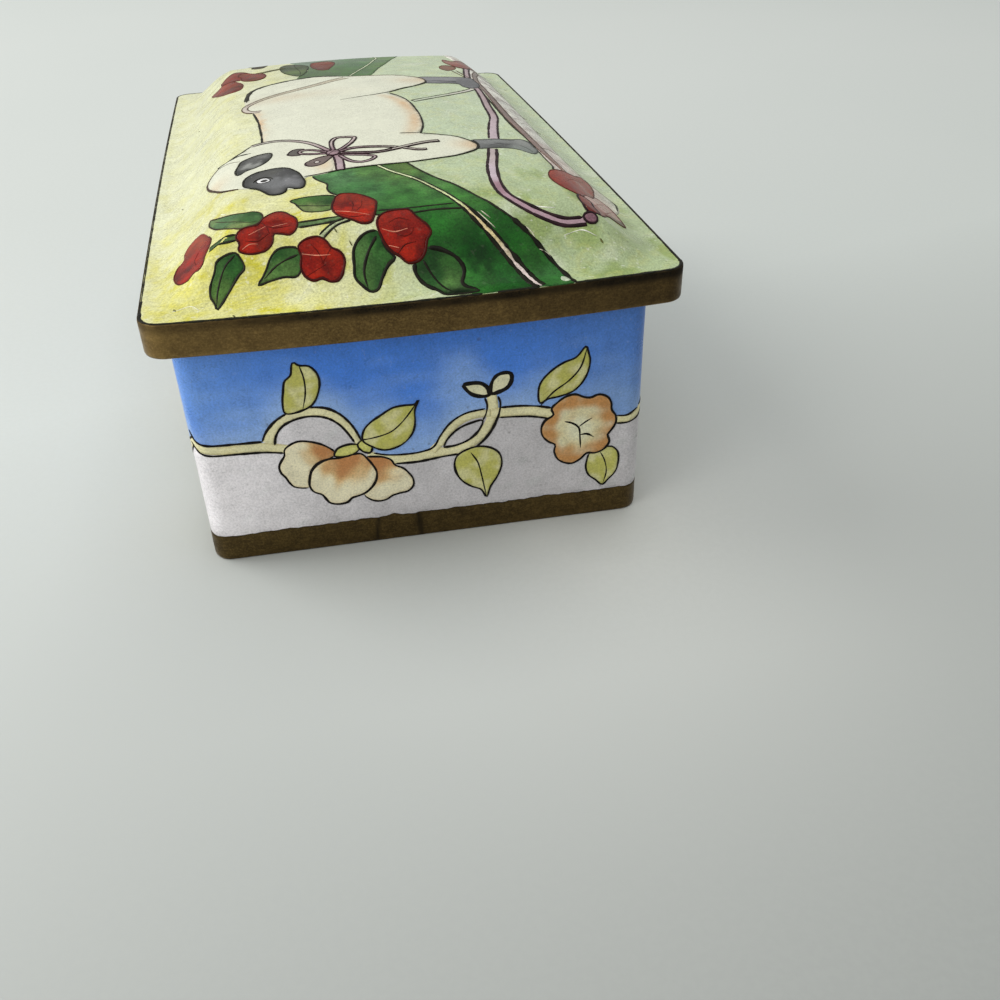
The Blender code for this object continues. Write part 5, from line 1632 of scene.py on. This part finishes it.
def foot_strip():
    n = 900
    s = np.arange(n) * GIRTH / n
    sf = np.mod(s + GIRTH / 2, GIRTH) - GIRTH / 2
    rag = 0.10 * wave(s * 0.9, 0 * s, 71, 3.2) + 0.07 * wave(s * 0.9, 0 * s, 72, 1.1)
    rag = rag + 0.42 * np.exp(-(((sf + 6.3) / 0.85) ** 2)) + 0.12 * np.exp(-(((sf + 12.0) / 0.4) ** 2))
    rag = rag + 0.10 * np.sin(2 * pi * s / GIRTH * 2 + 1)
    rag += 0.12 * np.exp(-(((sf - 20) / 0.7) ** 2))
    top = FOOT_H + 0.15 + rag
    dents = 0.03 * np.sin(2 * pi * s / GIRTH * 9)
    x_wave = wall_wave(s, np.full(n, 4.6))

    def mark(at, half, lean=0.0):
        return lambda z: np.exp(-(((sf - at - lean * (z - 2.4)) / half) ** 2))

    marks = [mark(-9.2, 0.34, 0.14), mark(-2.0, 0.55, -0.06), mark(48.0, 0.5, 0.1), mark(150.0, 0.4, 0.1), mark(-120.0, 0.6, 0.05)]
    rows, tints = [], []

    def ring(z, off, wear, grime_and_shade, mask=1.0):
        z = np.broadcast_to(np.asarray(z, float), (n,)).copy()
        off = np.broadcast_to(np.asarray(off, float), (n,)).copy()
        w = smoothstep(1.5, 5.0, z)
        x, y, nx, ny = around(s)
        d = off + x_wave * w - 0.05 * (1 - w)
        rows.append(np.stack([x + nx * d, y + ny * d, z], 1))
        t = np.zeros((n, 3))
        t[:, 0] = wear * (0.6 + 0.5 * wave(s, 0 * s, 75, 9))
        g = grime_and_shade * np.ones(n)
        for m in marks:
            g = np.maximum(g, 0.92 * m(z) * mask)
        t[:, 1] = np.clip(g, 0, 1)
        tints.append(np.clip(t, 0, 1))

    ring(top - 0.02, -0.7, 0, 1)
    ring(top, -0.10, 0, 1.0)
    ring(top - 0.02, 0.03, 0.1, 0.9)
    ring(top - 0.14, 0.06, 0.30, 0.35)
    for f in (0.10, 0.2, 0.32, 0.44, 0.56, 0.68, 0.8, 0.9):
        ring(top - 0.14 - (top - 0.5) * f, 0.05 + dents * (1 - f), 0.0 if f < 0.85 else 0.15, 0.0)
    ring(0.30, 0.03, 0.3, 0.05)
    ring(0.10, -0.06, 0.4, 0.1)
    ring(0.02, -0.28, 0.1, 0.3)
    ring(0.0, -0.60, 0.0, 0.4)
    ring(0.0, -0.95, 0.0, 0.4)
    ring(0.25, -1.05, 0, 0.6)
    ring(4.4, -1.05, 0, 0.6)
    v = np.concatenate(rows)
    faces = stack(rows)
    last = (len(rows) - 1) * n
    for i in range(n):
        j = (i + 1) % n
        faces.append((last + i, last + j, j, i))
    faces = [f[::-1] for f in faces]
    obj = to_object("foot_brass_strip", v, faces, np.concatenate(tints), foot_brass, True)
    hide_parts("foot_band")


wall_ground()
frieze()
foot_strip()


# ------------------------------------------------------- brass inside of the box
def plain_brass():
    m, t, bsdf = nodes_of("inner_brass")
    pos = position(t)
    mp = node(t, "ShaderNodeMapping")
    mp.inputs["Scale"].default_value = (700, 60, 60)
    t.links.new(pos, mp.inputs["Vector"])
    streak = noise_tex(t, mp.outputs[0], 1.0, 3, 0.6)
    blot = noise_tex(t, pos, 60, 5, 0.6, 0.6)
    fine = noise_tex(t, pos, 900, 2, 0.6)
    col = mix_colour(t, remap(t, blot, 0.35, 0.65, 0.0, 1.0), (0.34, 0.23, 0.10), (0.17, 0.10, 0.045))
    col = mix_colour(t, remap(t, streak, 0.5, 0.72, 0.0, 0.5), col, (0.50, 0.37, 0.19))
    t.links.new(col, bsdf.inputs["Base Color"])
    t.links.new(remap(t, blot, 0.35, 0.65, 0.36, 0.58), bsdf.inputs["Roughness"])
    bsdf.inputs["Metallic"].default_value = 0.9
    t.links.new(bump(t, fine, 0.00004, 0.3, bump(t, streak, 0.00005, 0.4)), bsdf.inputs["Normal"])
    return m


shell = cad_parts["box_shell"]
shell = bpy.data.objects[shell] if isinstance(shell, str) else shell
shell.data.materials.clear() if not shell.material_slots else None
inner = plain_brass()
for ms in shell.material_slots:
    ms.material = inner

# ------------------------------------------------------------ floor, light, camera
def floor():
    mesh = bpy.data.meshes.new("floor")
    a = 4.0
    mesh.from_pydata([(-a, -a, 0), (a, -a, 0), (a, a, 0), (-a, a, 0)], [], [(0, 1, 2, 3)])
    obj = bpy.data.objects.new("floor", mesh)
    bpy.context.scene.collection.objects.link(obj)
    m, t, bsdf = nodes_of("floor_paper")
    pos = position(t)
    soft = noise_tex(t, pos, 3.0, 3, 0.5)
    fine = noise_tex(t, pos, 900, 2, 0.6)
    col = mix_colour(t, remap(t, soft, 0.3, 0.7, 0.0, 1.0), tuple(lin(201, 206, 202)), tuple(lin(205, 209, 205)))
    # painted shade: the floor is a little darker towards the lower right
    sep = node(t, "ShaderNodeSeparateXYZ")
    t.links.new(pos, sep.inputs[0])
    across = math_node(t, "SUBTRACT", math_node(t, "MULTIPLY", sep.outputs[0], 0.55), math_node(t, "MULTIPLY", sep.outputs[1], 0.75))
    col = mix_colour(t, remap(t, across, -0.10, 0.20, 0.0, 0.22), col, (0.30, 0.33, 0.31))
    # painted shade: the floor darkens towards the front, nearest the camera
    near = math_node(t, "SUBTRACT", math_node(t, "MULTIPLY", sep.outputs[0], 0.25), sep.outputs[1])
    col = mix_colour(t, remap(t, near, -0.01, 0.20, 0.0, 0.58), col, (0.055, 0.055, 0.052))
    # painted light: a paler patch on the floor just in front of the box
    light_patch_distance = node(t, "ShaderNodeVectorMath", operation="DISTANCE")
    t.links.new(pos, light_patch_distance.inputs[0])
    light_patch_distance.inputs[1].default_value = (0.030, -0.068, 0.0)
    fall = node(t, "ShaderNodeMath", operation="MULTIPLY")
    t.links.new(light_patch_distance.outputs["Value"], fall.inputs[0])
    fall.inputs[1].default_value = -38.0
    soft = node(t, "ShaderNodeMath", operation="EXPONENT")
    t.links.new(fall.outputs[0], soft.inputs[0])
    col = mix_colour(t, remap(t, soft.outputs[0], 0.0, 0.65, 0.0, 0.86), col, tuple(lin(222, 224, 218)))
    col = mix_colour(t, remap(t, fine, 0.4, 0.6, 0.0, 0.06), col, tuple(lin(180, 184, 178)))
    t.links.new(col, bsdf.inputs["Base Color"])
    bsdf.inputs["Roughness"].default_value = 0.62
    bsdf.inputs["Specular IOR Level"].default_value = 0.25
    mesh.materials.append(m)
    obj.location.z = -0.00002
    return obj


floor()


def area(name, location, target, size, power, colour=(1, 1, 1)):
    light = bpy.data.lights.new(name, "AREA")
    light.shape = "RECTANGLE"
    light.size, light.size_y = size
    light.energy = power
    light.color = colour
    obj = bpy.data.objects.new(name, light)
    obj.location = location
    d = Vector(target) - Vector(location)
    obj.rotation_euler = d.to_track_quat("-Z", "Y").to_euler()
    bpy.context.scene.collection.objects.link(obj)
    return obj


area("window", (-1.02, 0.48, 0.95), (0, 0, 0.03), (0.9, 0.8), 11.6, (1.0, 0.995, 0.98))
area("ceiling", (0.0, 0.2, 1.4), (0, 0, 0), (1.4, 1.4), 9.0)
area("near_fill", (-0.19, -0.18, 0.105), (-0.02, -0.06, 0.02), (0.12, 0.10), 0.165, (1.0, 0.99, 0.98))

world = bpy.data.worlds.new("studio")
bpy.context.scene.world = world
world.use_nodes = True
bg = world.node_tree.nodes["Background"]
bg.inputs["Color"].default_value = (0.95, 0.96, 0.95, 1)
bg.inputs["Strength"].default_value = 0.46

cam_data = bpy.data.cameras.new("camera")
cam = bpy.data.objects.new("camera", cam_data)
bpy.context.scene.collection.objects.link(cam)
bpy.context.scene.camera = cam
yaw, pitch, roll = radians(10.144), radians(34.982), radians(-1.386)
fw = Vector((sin(yaw) * cos(pitch), cos(yaw) * cos(pitch), -sin(pitch)))
rt = fw.cross(Vector((0, 0, 1))).normalized()
upv = rt.cross(fw)
right = rt * cos(roll) + upv * sin(roll)
up = -rt * sin(roll) + upv * cos(roll)
rot = Matrix((right, up, -fw)).transposed().to_4x4()
cam.matrix_world = Matrix.Translation(Vector((-12.03, -201.85, 103.21)) * MM) @ rot
cam_data.sensor_width = 36.0
cam_data.lens = 36.18
cam_data.clip_start = 0.005
cam_data.clip_end = 20.0

bpy.context.scene.view_settings.view_transform = "Standard"
bpy.context.scene.view_settings.look = "None"
bpy.context.scene.view_settings.exposure = 0.0
bpy.context.scene.view_settings.gamma = 1.0
